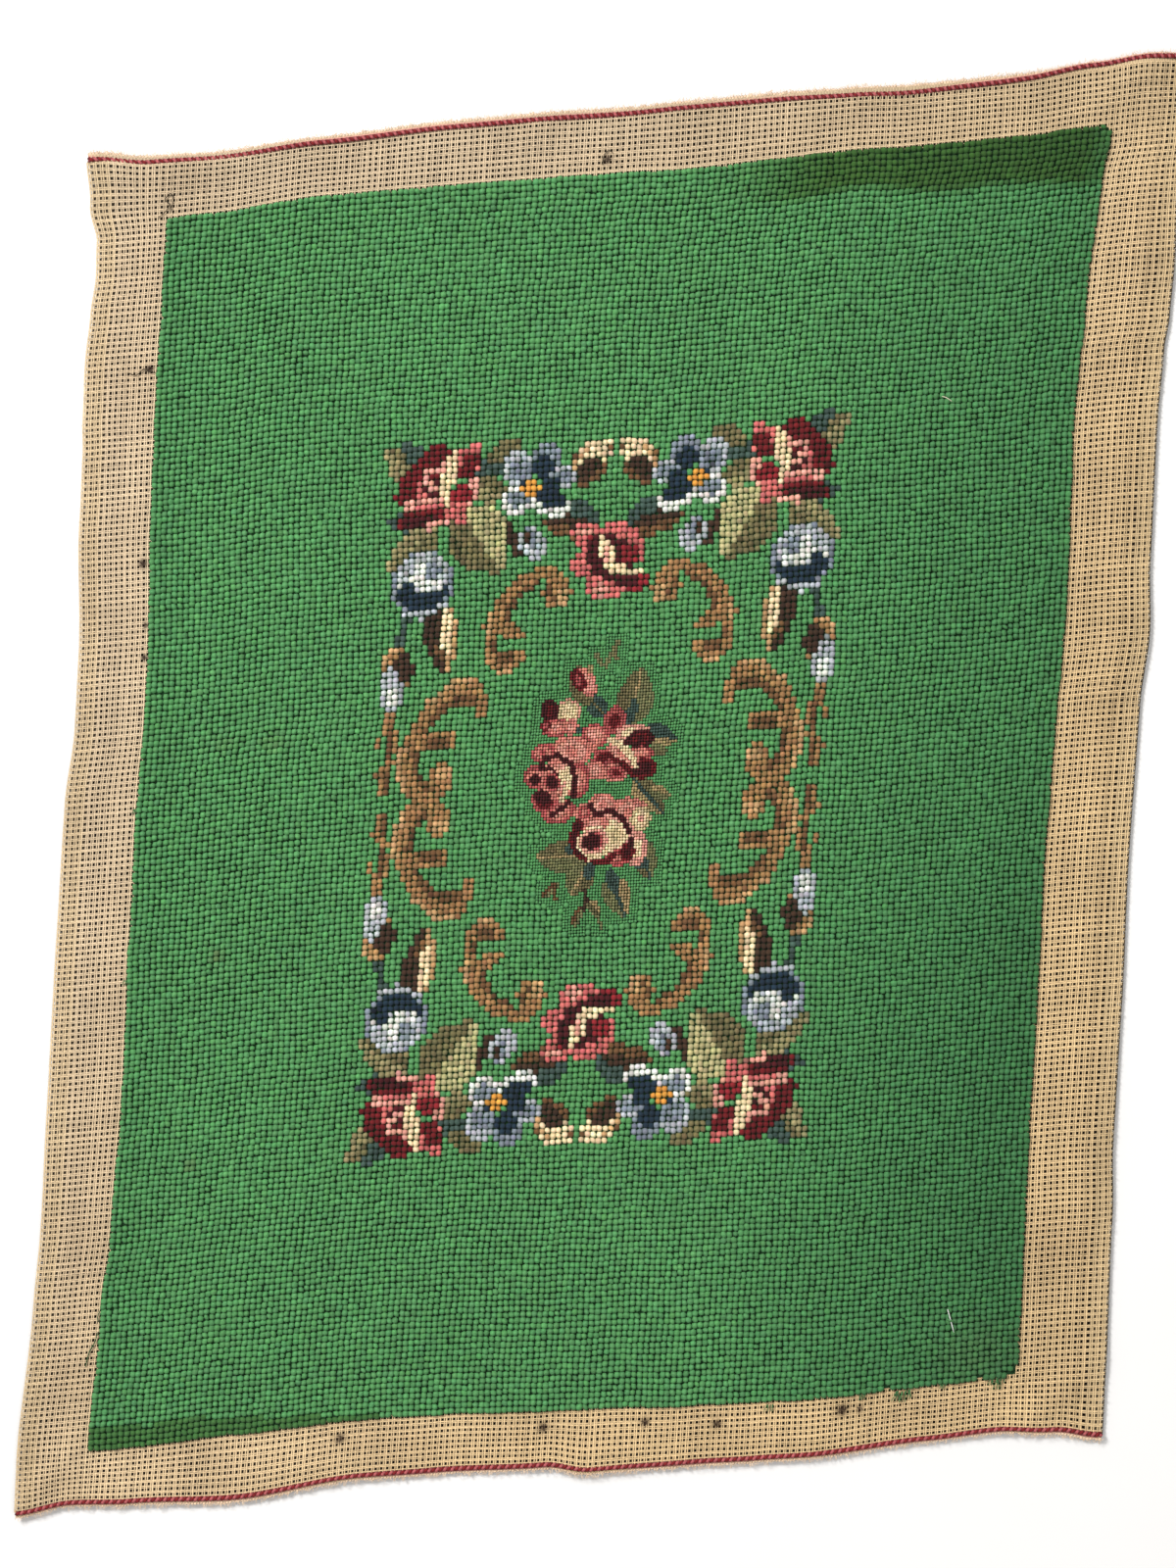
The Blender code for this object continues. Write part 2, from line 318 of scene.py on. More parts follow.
def wire(tree, *wires):
    """Links between nodes, each from a node's output to a node's input."""
    for source, output, target, socket in wires:
        tree.links.new(source.outputs[output], target.inputs[socket])


def new_finish(name):
    """An empty material with its node tree and its main shader."""
    made = bpy.data.materials.new(name)
    made.use_nodes = True
    return made, made.node_tree, made.node_tree.nodes["Principled BSDF"]


def effect_group(name, inputs, outputs):
    """An empty node group with named inputs (and values) and outputs."""
    tree = bpy.data.node_groups.new(name, "ShaderNodeTree")
    for label, value in inputs.items():
        socket = tree.interface.new_socket(label, in_out="INPUT", socket_type="NodeSocketFloat")
        socket.default_value = value
    for label in outputs:
        tree.interface.new_socket(label, in_out="OUTPUT", socket_type="NodeSocketFloat")
    return tree, tree.nodes.new("NodeGroupInput"), tree.nodes.new("NodeGroupOutput")


# %% Wool fibres and soft unevenness
def make_fibres():
    """Fine streaks along the slant of the stitches: a shade and a height."""
    tree, given, out = effect_group("fibres", {"Size": 900.0, "Strength": 0.25}, ("Shade", "Height"))
    place = add_node(tree, "ShaderNodeTexCoord")
    slant = (0.0, 0.0, math.radians(45.0))
    turn = add_node(tree, "ShaderNodeMapping", Rotation=slant, Scale=(0.3, 1.0, 1.0))
    streaks = add_node(tree, "ShaderNodeTexNoise", Detail=3.0, Roughness=0.6)
    shade = add_node(tree, "ShaderNodeMapRange", From_Min=0.3, From_Max=0.6)
    darkest = add_node(tree, "ShaderNodeMath", operation="SUBTRACT")
    darkest.inputs[0].default_value = 1.0
    wire(tree, (place, "Object", turn, "Vector"), (turn, "Vector", streaks, "Vector"),
         (given, "Size", streaks, "Scale"), (given, "Strength", darkest, 1),
         (streaks, "Fac", shade, "Value"), (darkest, "Value", shade, "To Min"),
         (shade, "Result", out, "Shade"), (streaks, "Fac", out, "Height"))
    return tree


def make_unevenness():
    """Slow cloudy variation, as from handling and light: a shade round 1."""
    tree, given, out = effect_group("unevenness", {"Size": 18.0, "Strength": 0.1}, ("Shade",))
    place = add_node(tree, "ShaderNodeTexCoord")
    clouds = add_node(tree, "ShaderNodeTexNoise", Detail=4.0, Roughness=0.55)
    centred = add_node(tree, "ShaderNodeMath", operation="SUBTRACT")
    centred.inputs[1].default_value = 0.5
    scaled = add_node(tree, "ShaderNodeMath", operation="MULTIPLY_ADD")
    scaled.inputs[2].default_value = 1.0
    wire(tree, (place, "Object", clouds, "Vector"), (given, "Size", clouds, "Scale"),
         (clouds, "Fac", centred, 0), (centred, "Value", scaled, 0),
         (given, "Strength", scaled, 1), (scaled, "Value", out, "Shade"))
    return tree


FIBRES = make_fibres()
UNEVENNESS = make_unevenness()


# %% The cloth materials
def cloth_finish(name, fibre_size, fibre_strength, cloud_strength, bump, roughness, sheen):
    """Yarn colour times fibres and clouds, with the fibres raised a little."""
    made, tree, shader = new_finish(name)
    shader.inputs["Sheen Weight"].default_value = sheen
    shader.inputs["Sheen Roughness"].default_value = 0.5
    shader.inputs["Specular IOR Level"].default_value = 0.25
    dyed = add_node(tree, "ShaderNodeAttribute", attribute_name="yarn")
    fibres = add_node(tree, "ShaderNodeGroup", node_tree=FIBRES, Size=fibre_size,
                      Strength=fibre_strength)
    clouds = add_node(tree, "ShaderNodeGroup", node_tree=UNEVENNESS, Strength=cloud_strength)
    shade = add_node(tree, "ShaderNodeMath", operation="MULTIPLY")
    colour = add_node(tree, "ShaderNodeVectorMath", operation="SCALE")
    rough = add_node(tree, "ShaderNodeMapRange", To_Min=roughness + 0.06, To_Max=roughness - 0.06)
    relief = add_node(tree, "ShaderNodeBump", Strength=bump, Distance=0.0002)
    wire(tree, (fibres, "Shade", shade, 0), (clouds, "Shade", shade, 1),
         (dyed, "Color", colour, 0), (shade, "Value", colour, "Scale"),
         (colour, "Vector", shader, "Base Color"), (fibres, "Height", rough, "Value"),
         (rough, "Result", shader, "Roughness"), (fibres, "Height", relief, "Height"),
         (relief, "Normal", shader, "Normal"))
    return made


WOOL = cloth_finish("wool_face", 1500.0, 0.28, 0.25, 0.5, 0.9, 0.12)
PETIT_WOOL = cloth_finish("fine_wool", 2600.0, 0.28, 0.15, 0.4, 0.9, 0.1)
BACK_WOOL = cloth_finish("wool_reverse", 1400.0, 0.35, 0.3, 0.7, 0.92, 0.1)
COTTON = cloth_finish("cotton_thread", 2600.0, 0.22, 0.22, 0.5, 0.86, 0.05)
SELVEDGE_YARN = cloth_finish("selvedge_yarn", 2400.0, 0.3, 0.15, 0.5, 0.85, 0.05)

# %% [markdown]
# ## The yarns
# The chart names its yarns, so a change of shade is one line here. A dyer's colours are
# given as they would look on a screen, and turned into the linear light that Blender
# works with.

# %% The shade card
SHADES = {
    "green": (79, 139, 82),
    "crimson": (97, 18, 22),
    "wine": (66, 13, 18),
    "rose": (128, 30, 36),
    "pink": (193, 100, 95),
    "blush": (216, 151, 134),
    "cream": (232, 204, 162),
    "navy": (26, 44, 58),
    "slate": (121, 130, 140),
    "mist": (168, 172, 176),
    "pearl": (216, 214, 206),
    "gold": (212, 146, 60),
    "teal": (58, 78, 70),
    "olive": (108, 100, 66),
    "sage": (142, 132, 92),
    "straw": (170, 163, 116),
    "bark": (62, 42, 28),
    "brown": (102, 72, 44),
    "tan": (150, 112, 71),
    "sand": (180, 142, 98),
    "dusty": (170, 80, 78),
    "shell": (206, 126, 112),
    "moss": (112, 112, 74),
    "hay": (160, 138, 96),
    "oat": (198, 178, 134),
}


def light(shade):
    """Linear colour of a screen shade given from 0 to 255."""
    part = np.asarray(shade, float) / 255.0
    return np.where(part <= 0.04045, part / 12.92, ((part + 0.055) / 1.055) ** 2.4)


YARNS = {name: light(shade) for name, shade in SHADES.items()}
print("yarns on the card:", len(YARNS))

# %% [markdown]
# ## Charting the design
# A chart says which yarn each mesh gets. It is a dictionary from (column, row) to a yarn
# name, and three strokes of the pencil draw everything in it: an oval, a pointed leaf
# with two sides, and a cord that swells and tapers. Half-size meshes use the same
# strokes with a step of 0.5.

# %% The three strokes
def meshes_in(x0, x1, y0, y1, step):
    """Chart meshes in a rectangle, with their middles."""
    for j in range(math.floor(y0 / step), math.ceil(y1 / step) + 1):
        for i in range(math.floor(x0 / step), math.ceil(x1 / step) + 1):
            yield i, j, (i + 0.5) * step, (j + 0.5) * step


def oval(chart, step, x, y, long, wide, yarn, turn=0):
    """Filled oval; its turn is anticlockwise in degrees."""
    turned = math.radians(turn)
    reach = max(long, wide)
    for i, j, px, py in meshes_in(x - reach, x + reach, y - reach, y + reach, step):
        u = (px - x) * math.cos(turned) - (py - y) * math.sin(turned)
        v = (px - x) * math.sin(turned) + (py - y) * math.cos(turned)
        if (u / long) ** 2 + (v / wide) ** 2 <= 1.0:
            chart[i, j] = yarn


def leaf(chart, step, x0, y0, x1, y1, wide, one, other, vein=None):
    """Pointed leaf from base to tip, a yarn for each side and one for the vein."""
    length = math.hypot(x1 - x0, y1 - y0)
    ux, uy = (x1 - x0) / length, (y1 - y0) / length
    belly = 0.42
    box = (min(x0, x1) - wide, max(x0, x1) + wide, min(y0, y1) - wide, max(y0, y1) + wide)
    for i, j, px, py in meshes_in(*box, step):
        t = ((px - x0) * ux + (py - y0) * uy) / length
        v = (px - x0) * uy - (py - y0) * ux
        if 0.0 <= t <= 1.0:
            s = t / belly if t < belly else (1.0 - t) / (1.0 - belly)
            if abs(v) <= wide * math.sin(0.5 * math.pi * s) ** 0.75:
                side = one if v > 0 else other
                chart[i, j] = vein if vein and abs(v) < 0.55 * step else side


def cord(chart, step, points, yarn):
    """Cord through points (x, y, width), tapering from each to the next."""
    for (xa, ya, wa), (xb, yb, wb) in zip(points, points[1:]):
        w = max(wa, wb)
        dx, dy = xb - xa, yb - ya
        box = (min(xa, xb) - w, max(xa, xb) + w, min(ya, yb) - w, max(ya, yb) + w)
        for i, j, px, py in meshes_in(*box, step):
            t = ((px - xa) * dx + (py - ya) * dy) / (dx * dx + dy * dy)
            t = max(0.0, min(1.0, t))
            if math.hypot(px - xa - t * dx, py - ya - t * dy) <= 0.5 * (wa + (wb - wa) * t):
                chart[i, j] = yarn


def petals(chart, step, x, y, long, wide, yarns, turn=0, dx=0, dy=0):
    """Ovals in one another, from the outer yarn to the inner, drifting by dx, dy."""
    for k, yarn in enumerate(yarns):
        share = k / len(yarns)
        least = 0.6 * step
        oval(chart, step, x + dx * share, y + dy * share, max(long * (1 - share), least),
             max(wide * (1 - share), least), yarn, turn)


def draw(chart, step, shapes, x, y):
    """Shapes of a motif, drawn with its middle at x, y."""
    for stroke, *given in shapes:
        if stroke is cord:
            given[0] = [(x + px, y + py, width) for px, py, width in given[0]]
        else:
            given[:2] = x + given[0], y + given[1]
        if stroke is leaf:
            given[2:4] = x + given[2], y + given[3]
        stroke(chart, step, *given)


# %% [markdown]
# ## The garland
# The border is a garland in the taste of old printed charts: a full rose and a round
# blue flower at each corner, a pansy beside them, buds, leaves and tan scrolls. One
# quarter is drawn and turned over for the rest, as the chart itself was repeated. Each
# motif is a short table of shapes round its own middle.

# %% The flowers
# oval: x, y, half length, half width, yarn, turn      cord: points (x, y, width), yarn
# leaf: base x, y, tip x, y, width, left yarn, right yarn, vein
ROSE = (
    (oval, -1, -5, 2.4, 2.4, "crimson"),
    (oval, -3.5, -1.5, 4, 3.5, "crimson", 30),
    (oval, -6, 1, 2.7, 1.1, "crimson", 8),
    (oval, 4.5, -4.5, 3, 2.1, "pink", 62),
    (oval, 4.5, -3.5, 2.6, 1.5, "crimson", 70),
    (oval, 5, 1, 2.4, 1.9, "blush", 60),
    (oval, 4, 1.5, 1.7, 1.3, "rose", 60),
    (oval, 2.5, 4, 2.7, 2, "pink", -30),
    (cord, ((0.5, 3, 1.2), (2, 2, 1.6), (3, 0, 1.6)), "rose"),
    (cord, ((2, -6, 1.2), (1.5, -3.5, 2), (0.5, 0, 2.7), (0.5, 2.5, 2)), "cream"),
    (cord, ((0, -3.5, 1), (-1, -3, 1.2), (-3, -2.5, 1)), "blush"),
    (oval, -2.5, 0, 2.3, 1.7, "wine"),
    (cord, ((-4, -1, 1), (-4, 0.5, 1), (-2.5, 1.5, 1)), "pink"),
    (cord, ((-2.5, -1, 1), (-1.5, 0, 1)), "blush"),
    (cord, ((-6.5, 2.5, 1), (-3.5, 2.5, 1.6), (-0.5, 2.5, 2.2)), "blush"),
    (oval, -2, 3.5, 2.5, 1, "pink"),
    (oval, -3.5, 5, 4.3, 1.6, "crimson", 7),
    (cord, ((-6, 5.5, 1), (-3, 5.5, 1.2), (-1.5, 5, 1)), "wine"),
    (cord, ((-2, 6.5, 1), (0.5, 6, 1.1)), "blush"),
)
PANSY = (
    (oval, -3, -3, 3, 2.7, "mist"),
    (oval, -2.5, -2.5, 2.2, 1.9, "slate"),
    (oval, 2, -4, 2.5, 3, "slate"),
    (oval, 1.5, -3, 1.6, 2.6, "navy"),
    (oval, 5, -1, 2.2, 2, "mist"),
    (oval, 4.5, -1, 1.8, 1.3, "slate"),
    (oval, -3, 2.5, 2.9, 2.3, "pearl", 20),
    (oval, -2.5, 2, 2.1, 1.5, "slate", 20),
    (oval, 3, 3.5, 3.4, 2.1, "pearl", -18),
    (oval, 3, 2.5, 2.7, 1.7, "navy", -18),
    (oval, 3, 0.5, 1.7, 1.6, "navy"),
    (oval, -1.5, 0, 1.5, 1.2, "navy"),
    (oval, -0.5, 0.5, 1.6, 1.7, "gold"),
)
ROUND_FLOWER = (
    (oval, 0, 0, 5.4, 5.5, "slate"),
    (oval, 0, -0.5, 5, 4.6, "mist"),
    (oval, 1.5, -2, 2.4, 1.6, "slate", 20),
    (oval, -0.5, -2, 1.2, 2, "pearl"),
    (cord, ((-4, 0.5, 1), (-2, -0.5, 1.4), (0.5, 0, 1.8), (3, 0.5, 1)), "pearl"),
    (cord, ((-2, -4, 1), (1, -4.5, 1.2), (3.5, -3, 1)), "mist"),
    (cord, ((-4, 1, 1.6), (-2.5, 2.5, 2.8), (0, 3.5, 3), (3, 2.5, 1.8)), "navy"),
    (cord, ((3, 2.5, 1.4), (4, 1.5, 1)), "navy"),
    (cord, ((-2.5, 0.5, 1.6), (-1.5, 2, 1.2)), "navy"),
    (oval, 0.5, 1, 1.2, 0.9, "pearl"),
    (cord, ((-3.5, 4.5, 1), (0, 5.5, 1), (3.5, 4, 1)), "mist"),
)
MIDDLE_ROSE = (
    (oval, -3.5, -4, 3.3, 2.6, "pink", -40),
    (oval, 2.5, -3, 4.4, 2.9, "pink", -40),
    (oval, -4, 0.5, 2.7, 2.3, "pink"),
    (oval, -0.5, 4, 3.6, 2.7, "pink"),
    (oval, 4.5, 3.5, 2.3, 2, "rose"),
    (oval, -2.5, -2.5, 2.4, 1.6, "rose", -60),
    (oval, 0, -0.5, 4.4, 3.6, "wine", -45),
    (cord, ((-2, -2.5, 1.4), (-1, 1, 1.6), (1.5, 3.5, 1.6), (4.5, 3.5, 1.2)), "wine"),
    (cord, ((-1.5, -4, 1.2), (-0.5, -1.5, 2.4), (0.5, 1, 2.2), (3.5, 2, 1.3)), "cream"),
    (cord, ((3, 2, 1.1), (5.5, 2, 1.1)), "cream"),
    (cord, ((-1, -2.5, 1), (0, 0.5, 1.2)), "blush"),
    (oval, 3.5, -1, 2.2, 1.6, "rose", -50),
    (oval, -1.5, 5, 1.8, 1.2, "blush"),
    (cord, ((-5, -5, 1), (-3, -5.5, 1)), "blush"),
)

# %% Buds, leaves and tendrils
TAN_BUD = (
    (oval, 0, 0, 4, 2.9, "brown", 50),
    (oval, 1, -2, 3.2, 2, "cream", 15),
    (oval, -0.5, 1, 2.7, 1.6, "bark", 40),
    (cord, ((-4, 1.5, 1), (-2, -1, 1.3), (0, -3, 1.2)), "sand"),
    (cord, ((3, -2, 1), (4.5, -2.5, 1)), "brown"),
)
LEAF_PAIR = (
    (leaf, 0, 0, -6.5, -5.5, 2.6, "teal", "teal"),
    (leaf, 0, 0.5, -10.5, -2.5, 2, "brown", "bark"),
)
BLUE_BUD = (
    (cord, ((-4, -3.5, 1), (-3.5, -1, 2), (-2.5, 2, 1.4)), "bark"),
    (oval, 0, 0, 2.3, 2.9, "mist", 40),
    (oval, -0.5, -1, 1.2, 2, "slate", 30),
    (cord, ((-1.5, -2, 1), (-0.5, 0, 1)), "bark"),
)
LONG_BUD = (
    (leaf, 0, -6.5, 1.5, 6.5, 3, "sand", "bark"),
    (cord, ((1, -5, 1.4), (1.5, -1.5, 1.8), (1.5, 2.5, 1.2)), "cream"),
    (cord, ((-1.5, -4.5, 2), (-1.5, -1, 2.4), (0, 2.5, 1.6)), "bark"),
    (cord, ((0, 1.5, 1), (1, 3.5, 1)), "brown"),
)
SIDE_BUD = (
    (cord, ((1.5, -10.5, 1), (0.5, -8, 1), (0.5, -5.5, 1.2)), "teal"),
    (oval, 0, -2, 2.9, 4.2, "tan"),
    (oval, -0.5, 1, 2.3, 4.2, "mist", 5),
    (oval, 1.5, -2.5, 1.5, 2.6, "bark", 10),
    (oval, -0.5, 2.5, 1.2, 1.8, "pearl"),
    (cord, ((-2.5, -3, 1), (-1.5, -5, 1.2), (0, -5.5, 1)), "sand"),
)
TENDRIL = (
    (cord, ((0, -6.5, 1), (0, -4, 1.2), (-1.5, -1.5, 1)), "tan"),
    (cord, ((0, -4.5, 1), (1.5, -2.5, 1), (2, 0, 1)), "tan"),
    (cord, ((0.5, -3, 1), (0.5, -0.5, 1.2), (1, 2.5, 1.2)), "brown"),
    (cord, ((1, 2, 1.3), (-0.5, 4, 2), (0, 7, 1.6)), "tan"),
    (cord, ((0.5, 4.5, 1), (0.5, 7, 1)), "brown"),
)
CORNER_LEAVES = (
    (leaf, 46.5, 50, 40.5, 44, 2.6, "sage", "olive"),
    (leaf, 47.5, 48.5, 43.5, 43, 1.8, "teal", "teal"),
    (leaf, 47, 57, 41.5, 56.5, 1.8, "teal", "teal"),
    (leaf, 50, 58.5, 41, 65, 3, "olive", "sage"),
    (leaf, 55.5, 49.5, 62, 47.5, 2, "teal", "teal"),
    (leaf, 58, 48, 64.5, 44, 1.9, "olive", "olive"),
    (leaf, 56, 51.5, 62, 53.5, 2.3, "olive", "sage"),
    (leaf, 53.5, 55, 61, 66.5, 5.4, "straw", "olive"),
)

# %% The scrolls
CORNER_SCROLL = (
    (cord, ((5.5, -7, 1.8), (3, -7.5, 2), (0, -6.5, 2.4), (-2.5, -5, 2.6),
            (-4.5, -2, 3), (-6, 1, 3), (-6, 4, 2.4),
            (-5.5, 6.5, 2.4), (-3.5, 8, 2.5), (-1.5, 7, 2.2)), "tan"),
    (cord, ((-1.5, 7, 2), (-1, 6, 1.2)), "tan"),
    (oval, 5, -4, 2.5, 2.6, "tan"),
    (cord, ((-5, 0, 3), (-3, 2, 2.4), (-0.5, 3, 1.2)), "tan"),
    (cord, ((4.5, -3, 1), (3.5, -4, 1), (4, -5.5, 1)), "brown"),
    (cord, ((1.5, -6, 1), (-1, -4.5, 1), (-3, -2, 1), (-3.5, 0, 1.2)), "brown"),
    (cord, ((-5.5, 4.5, 1), (-4.5, 6.5, 1), (-2.5, 6.5, 1)), "brown"),
    (cord, ((-6.5, -0.5, 1), (-7, 2.5, 1)), "sand"),
    (cord, ((-5, 8.5, 1), (-2.5, 9, 1)), "sand"),
    (oval, 6, -3, 1.2, 1.4, "sand"),
)
SIDE_SCROLL = (
    (cord, ((8, -6.5, 1), (8, -8.5, 2.4), (6, -11.5, 3.6), (2.5, -11, 3.4),
            (-0.5, -8.5, 3), (-2.5, -5.5, 2.8), (-4, -2, 2.8),
            (-4, 1, 3), (-3, 4, 3.2), (-0.5, 7, 3.9)), "tan"),
    (cord, ((-3, -3, 2.6), (0.5, -3.5, 2.4), (3, -3.5, 2.2), (3.5, -2, 1)), "tan"),
    (oval, 2, 3.5, 2.2, 2.6, "tan"),
    (cord, ((-0.5, 7, 3.4), (1, 5, 3)), "tan"),
    (cord, ((6.5, -9.5, 1.4), (3, -9.5, 1.2), (0.5, -7.5, 1.2), (-1.5, -5, 1)), "brown"),
    (cord, ((-1, -2.5, 1), (2.5, -2.5, 1)), "brown"),
    (cord, ((-3, -1, 1), (-2.5, 1.5, 1.2), (-1.5, 3.5, 1.2), (0, 5.5, 1)), "brown"),
    (cord, ((5.5, -13, 1), (2.5, -12.5, 1), (-1, -10, 1)), "sand"),
    (cord, ((-5, -2, 1), (-5.5, 1.5, 1), (-4.5, 4.5, 1)), "sand"),
    (oval, 2.5, 2.5, 1.1, 1.3, "sand"),
)

# %% Laying out the garland
# motif, column, row of its middle, in the top left quarter
LAYOUT = (
    (CORNER_LEAVES, 0, 0),
    (TAN_BUD, 76, 49),
    (LEAF_PAIR, 78, 60.5),
    (BLUE_BUD, 66.5, 62),
    (LONG_BUD, 50.5, 77),
    (SIDE_BUD, 43.5, 84),
    (TENDRIL, 43, 95.5),
    (CORNER_SCROLL, 66, 74.5),
    (SIDE_SCROLL, 51, 97.5),
    (ROSE, 50.5, 51.5),
    (PANSY, 66.5, 52),
    (ROUND_FLOWER, 47.5, 67.5),
)
quarter = {}
for motif, column, row in LAYOUT:
    draw(quarter, 1.0, motif, column, row)
garland = {}
for (i, j), yarn in quarter.items():
    if i <= 79 and j <= 104:
        garland[i, j] = yarn
        garland[COLUMNS - i, j] = yarn
draw(garland, 1.0, MIDDLE_ROSE, 80.0, 65.5)
for (i, j), yarn in list(garland.items()):
    if j <= 104:
        garland[i, ROWS - 1 - j] = yarn
print("stitches in the garland:", len(garland))

# %% [markdown]
# ## The bouquet
# The bunch of roses in the middle is in fine stitches, four to a mesh: there each double
# thread of the canvas is parted and worked singly. It is charted at half-mesh steps
# round its own middle. A petal is a set of ovals, one inside another, from the outer
# yarn to the inner, which gives the shaded edges of old rose charts.

# %% Leaves and sprigs of the bouquet
BOUQUET_LEAVES = (
    (leaf, 4, -10.5, 5.5, -20.5, 3.3, "olive", "sage", "sand"),
    (oval, 4.5, -13.5, 0.8, 2, "teal", -5),
    (oval, 3.5, -12, 1.3, 1.4, "teal"),
    (cord, ((1, -25, 0.8), (0, -23, 1), (-1, -20.5, 0.6)), "sage"),
    (cord, ((0.5, -24.5, 0.6), (1, -22, 0.6)), "olive"),
    (cord, ((-2.5, -23, 0.9), (-1.5, -21, 0.7)), "sage"),
    (leaf, 0, -12.5, -4, -16.5, 1.7, "teal", "teal", "olive"),
    (leaf, 7.5, -9, 13, -8, 1.9, "teal", "sand"),
    (oval, 9, -10, 1.5, 1.1, "teal", -20),
    (leaf, 8, -7, 11.5, -6, 1, "sage", "olive"),
    (leaf, 5.5, -2, 11.5, 4.5, 2.1, "olive", "sand", "teal"),
    (leaf, 8.5, 0, 12.5, 1.5, 1.2, "sand", "sage"),
    (leaf, -1, 11, -10.5, 10.5, 2.9, "sage", "olive", "sand"),
    (oval, -4, 9.5, 1.4, 1.2, "teal"),
    (leaf, -1, 12, -4, 17.5, 2.6, "olive", "sage", "sand"),
    (oval, -1, 13.5, 1.2, 1.5, "teal"),
    (leaf, 7.5, 8, 10, 15.5, 2.1, "sage", "olive", "teal"),
    (oval, 8, 12.5, 1.5, 1.1, "teal", -30),
    (leaf, 2.5, 14, 6, 21.5, 2.3, "sand", "sage", "teal"),
    (leaf, 2.5, 13, 4.5, 18, 1.1, "teal", "teal"),
    (cord, ((-1.5, 16.5, 0.7), (-1, 19, 0.9), (-2.5, 22.5, 0.7)), "bark"),
    (cord, ((-1, 19, 0.7), (1, 21, 0.9), (2, 23.5, 0.6)), "sage"),
    (leaf, -2, 19.5, -3, 23, 0.8, "sage", "brown"),
    (leaf, -0.5, 18.5, 1.5, 21, 0.9, "sand", "olive"),
    (leaf, -6, 15, -9, 17.5, 0.9, "sage", "brown"),
    (cord, ((-7, 15.5, 0.8), (-6.5, 18, 0.7)), "brown"),
)

# %% The five roses of the bouquet
# petals: x, y, half length, half width, yarns from the outside in, turn, drift x, y
BUD = (
    (leaf, -3.5, -14.5, -6, -21.5, 2.3, "olive", "olive"),
    (petals, -4, -18.5, 2.7, 1.5, ("pink", "blush", "pink"), -60, 0.2, 0.2),
    (petals, -5.5, -19, 2, 1.2, ("crimson", "rose"), -65, 0, 0.2),
    (cord, ((-3.5, -21.5, 0.6), (-3.5, -20, 0.6)), "sand"),
)
SMALL_ROSE = (
    (petals, -7, -13.5, 2.6, 2.3, ("blush", "straw", "cream", "cream"), 0, 0.2, -0.3),
    (petals, -10, -14, 1.5, 2, ("wine", "crimson"), 10),
    (petals, -8.5, -11, 2.7, 1.6, ("rose", "pink", "blush"), 0, -0.4, -0.3),
    (petals, -10.5, -11.5, 1.2, 0.9, ("crimson", "rose")),
    (petals, -6, -11, 1.3, 1.3, ("pink", "blush")),
    (oval, -4.5, -10.5, 0.8, 0.7, "teal"),
)
UPPER_ROSE = (
    (petals, 1.5, -12, 1.9, 2.3, ("rose", "crimson"), 0, 0.1, 0.4),
    (petals, -1.5, -9.5, 2.6, 1.8, ("rose", "pink", "blush", "blush"), -25, -0.4, -0.5),
    (petals, -2.5, -7, 1.4, 1.7, ("pink", "blush")),
    (petals, 5, -9.5, 3.2, 1.7, ("blush", "cream"), 0, -1, -0.2),
    (petals, 6.5, -8.5, 2.4, 1.7, ("wine", "crimson", "wine")),
    (petals, 0, -5.5, 2.6, 1.6, ("rose", "crimson")),
    (petals, -1, -3.5, 2.1, 1.6, ("pink", "blush"), -30),
    (petals, 2.5, -3, 2.5, 1.6, ("pink", "rose", "crimson"), 0, 0.2, 0.2),
    (petals, 6.5, -6, 2.6, 1.3, ("rose", "pink", "blush"), 0, -0.3, -0.3),
    (petals, 7, -3.5, 2.6, 1.8, ("crimson", "wine", "wine")),
    (petals, 3.5, -6, 3.3, 1.6, ("pink", "blush", "pink"), -38),
    (cord, ((1, -8.5, 1), (3.5, -7.5, 1.4), (5.5, -5, 1.2), (6, -3.5, 0.7)), "cream"),
    (cord, ((1, -6, 0.8), (3.5, -4.5, 0.9), (5, -3, 0.7)), "crimson"),
    (cord, ((4, -8, 0.9), (6, -7.5, 0.8)), "wine"),
    (oval, -2.5, -6, 0.9, 1.1, "green"),
)
LEFT_ROSE = (
    (petals, -5.5, -7, 3.7, 2.7, ("pink", "blush", "pink"), -10),
    (petals, -4, -2, 2.2, 3.2, ("rose", "pink", "blush"), 0, -0.2, 0.2),
    (petals, -10.5, -7, 2.1, 1.5, ("rose", "pink", "rose"), 15),
    (petals, -11.5, -3, 2, 1.9, ("rose", "pink", "rose")),
    (petals, -7, 3, 3.1, 2.1, ("rose", "pink", "blush"), 10, 0.4, 0.2),
    (petals, -9.5, 1, 2.4, 2.2, ("rose", "crimson", "wine"), -30, -0.2, 0.1),
    (petals, -7.5, -2.5, 3.2, 3.6, ("pink", "blush", "cream"), 0, 0.8, -0.4),
    (cord, ((-11, -4, 0.6), (-10, -6, 0.9), (-8, -6.5, 0.8), (-5.5, -5, 0.9),
            (-4.5, -2.5, 0.9), (-4.5, 0.5, 0.9)), "wine"),
    (petals, -8.5, -2, 1.8, 1.3, ("rose", "wine", "wine"), -25),
    (oval, -11.5, -2.5, 0.9, 1.2, "wine"),
    (oval, -10, 0.5, 1.5, 1.2, "wine", -30),
    (cord, ((-10.5, -4, 0.6), (-9, -4.5, 0.7), (-7.5, -3, 0.6)), "wine"),
    (cord, ((-6, -4, 1), (-5.5, -1.5, 1.2), (-6.5, 1, 0.9)), "cream"),
    (cord, ((-8, 3.5, 0.8), (-6.5, 2.5, 0.9), (-5, 1.5, 0.7)), "wine"),
)
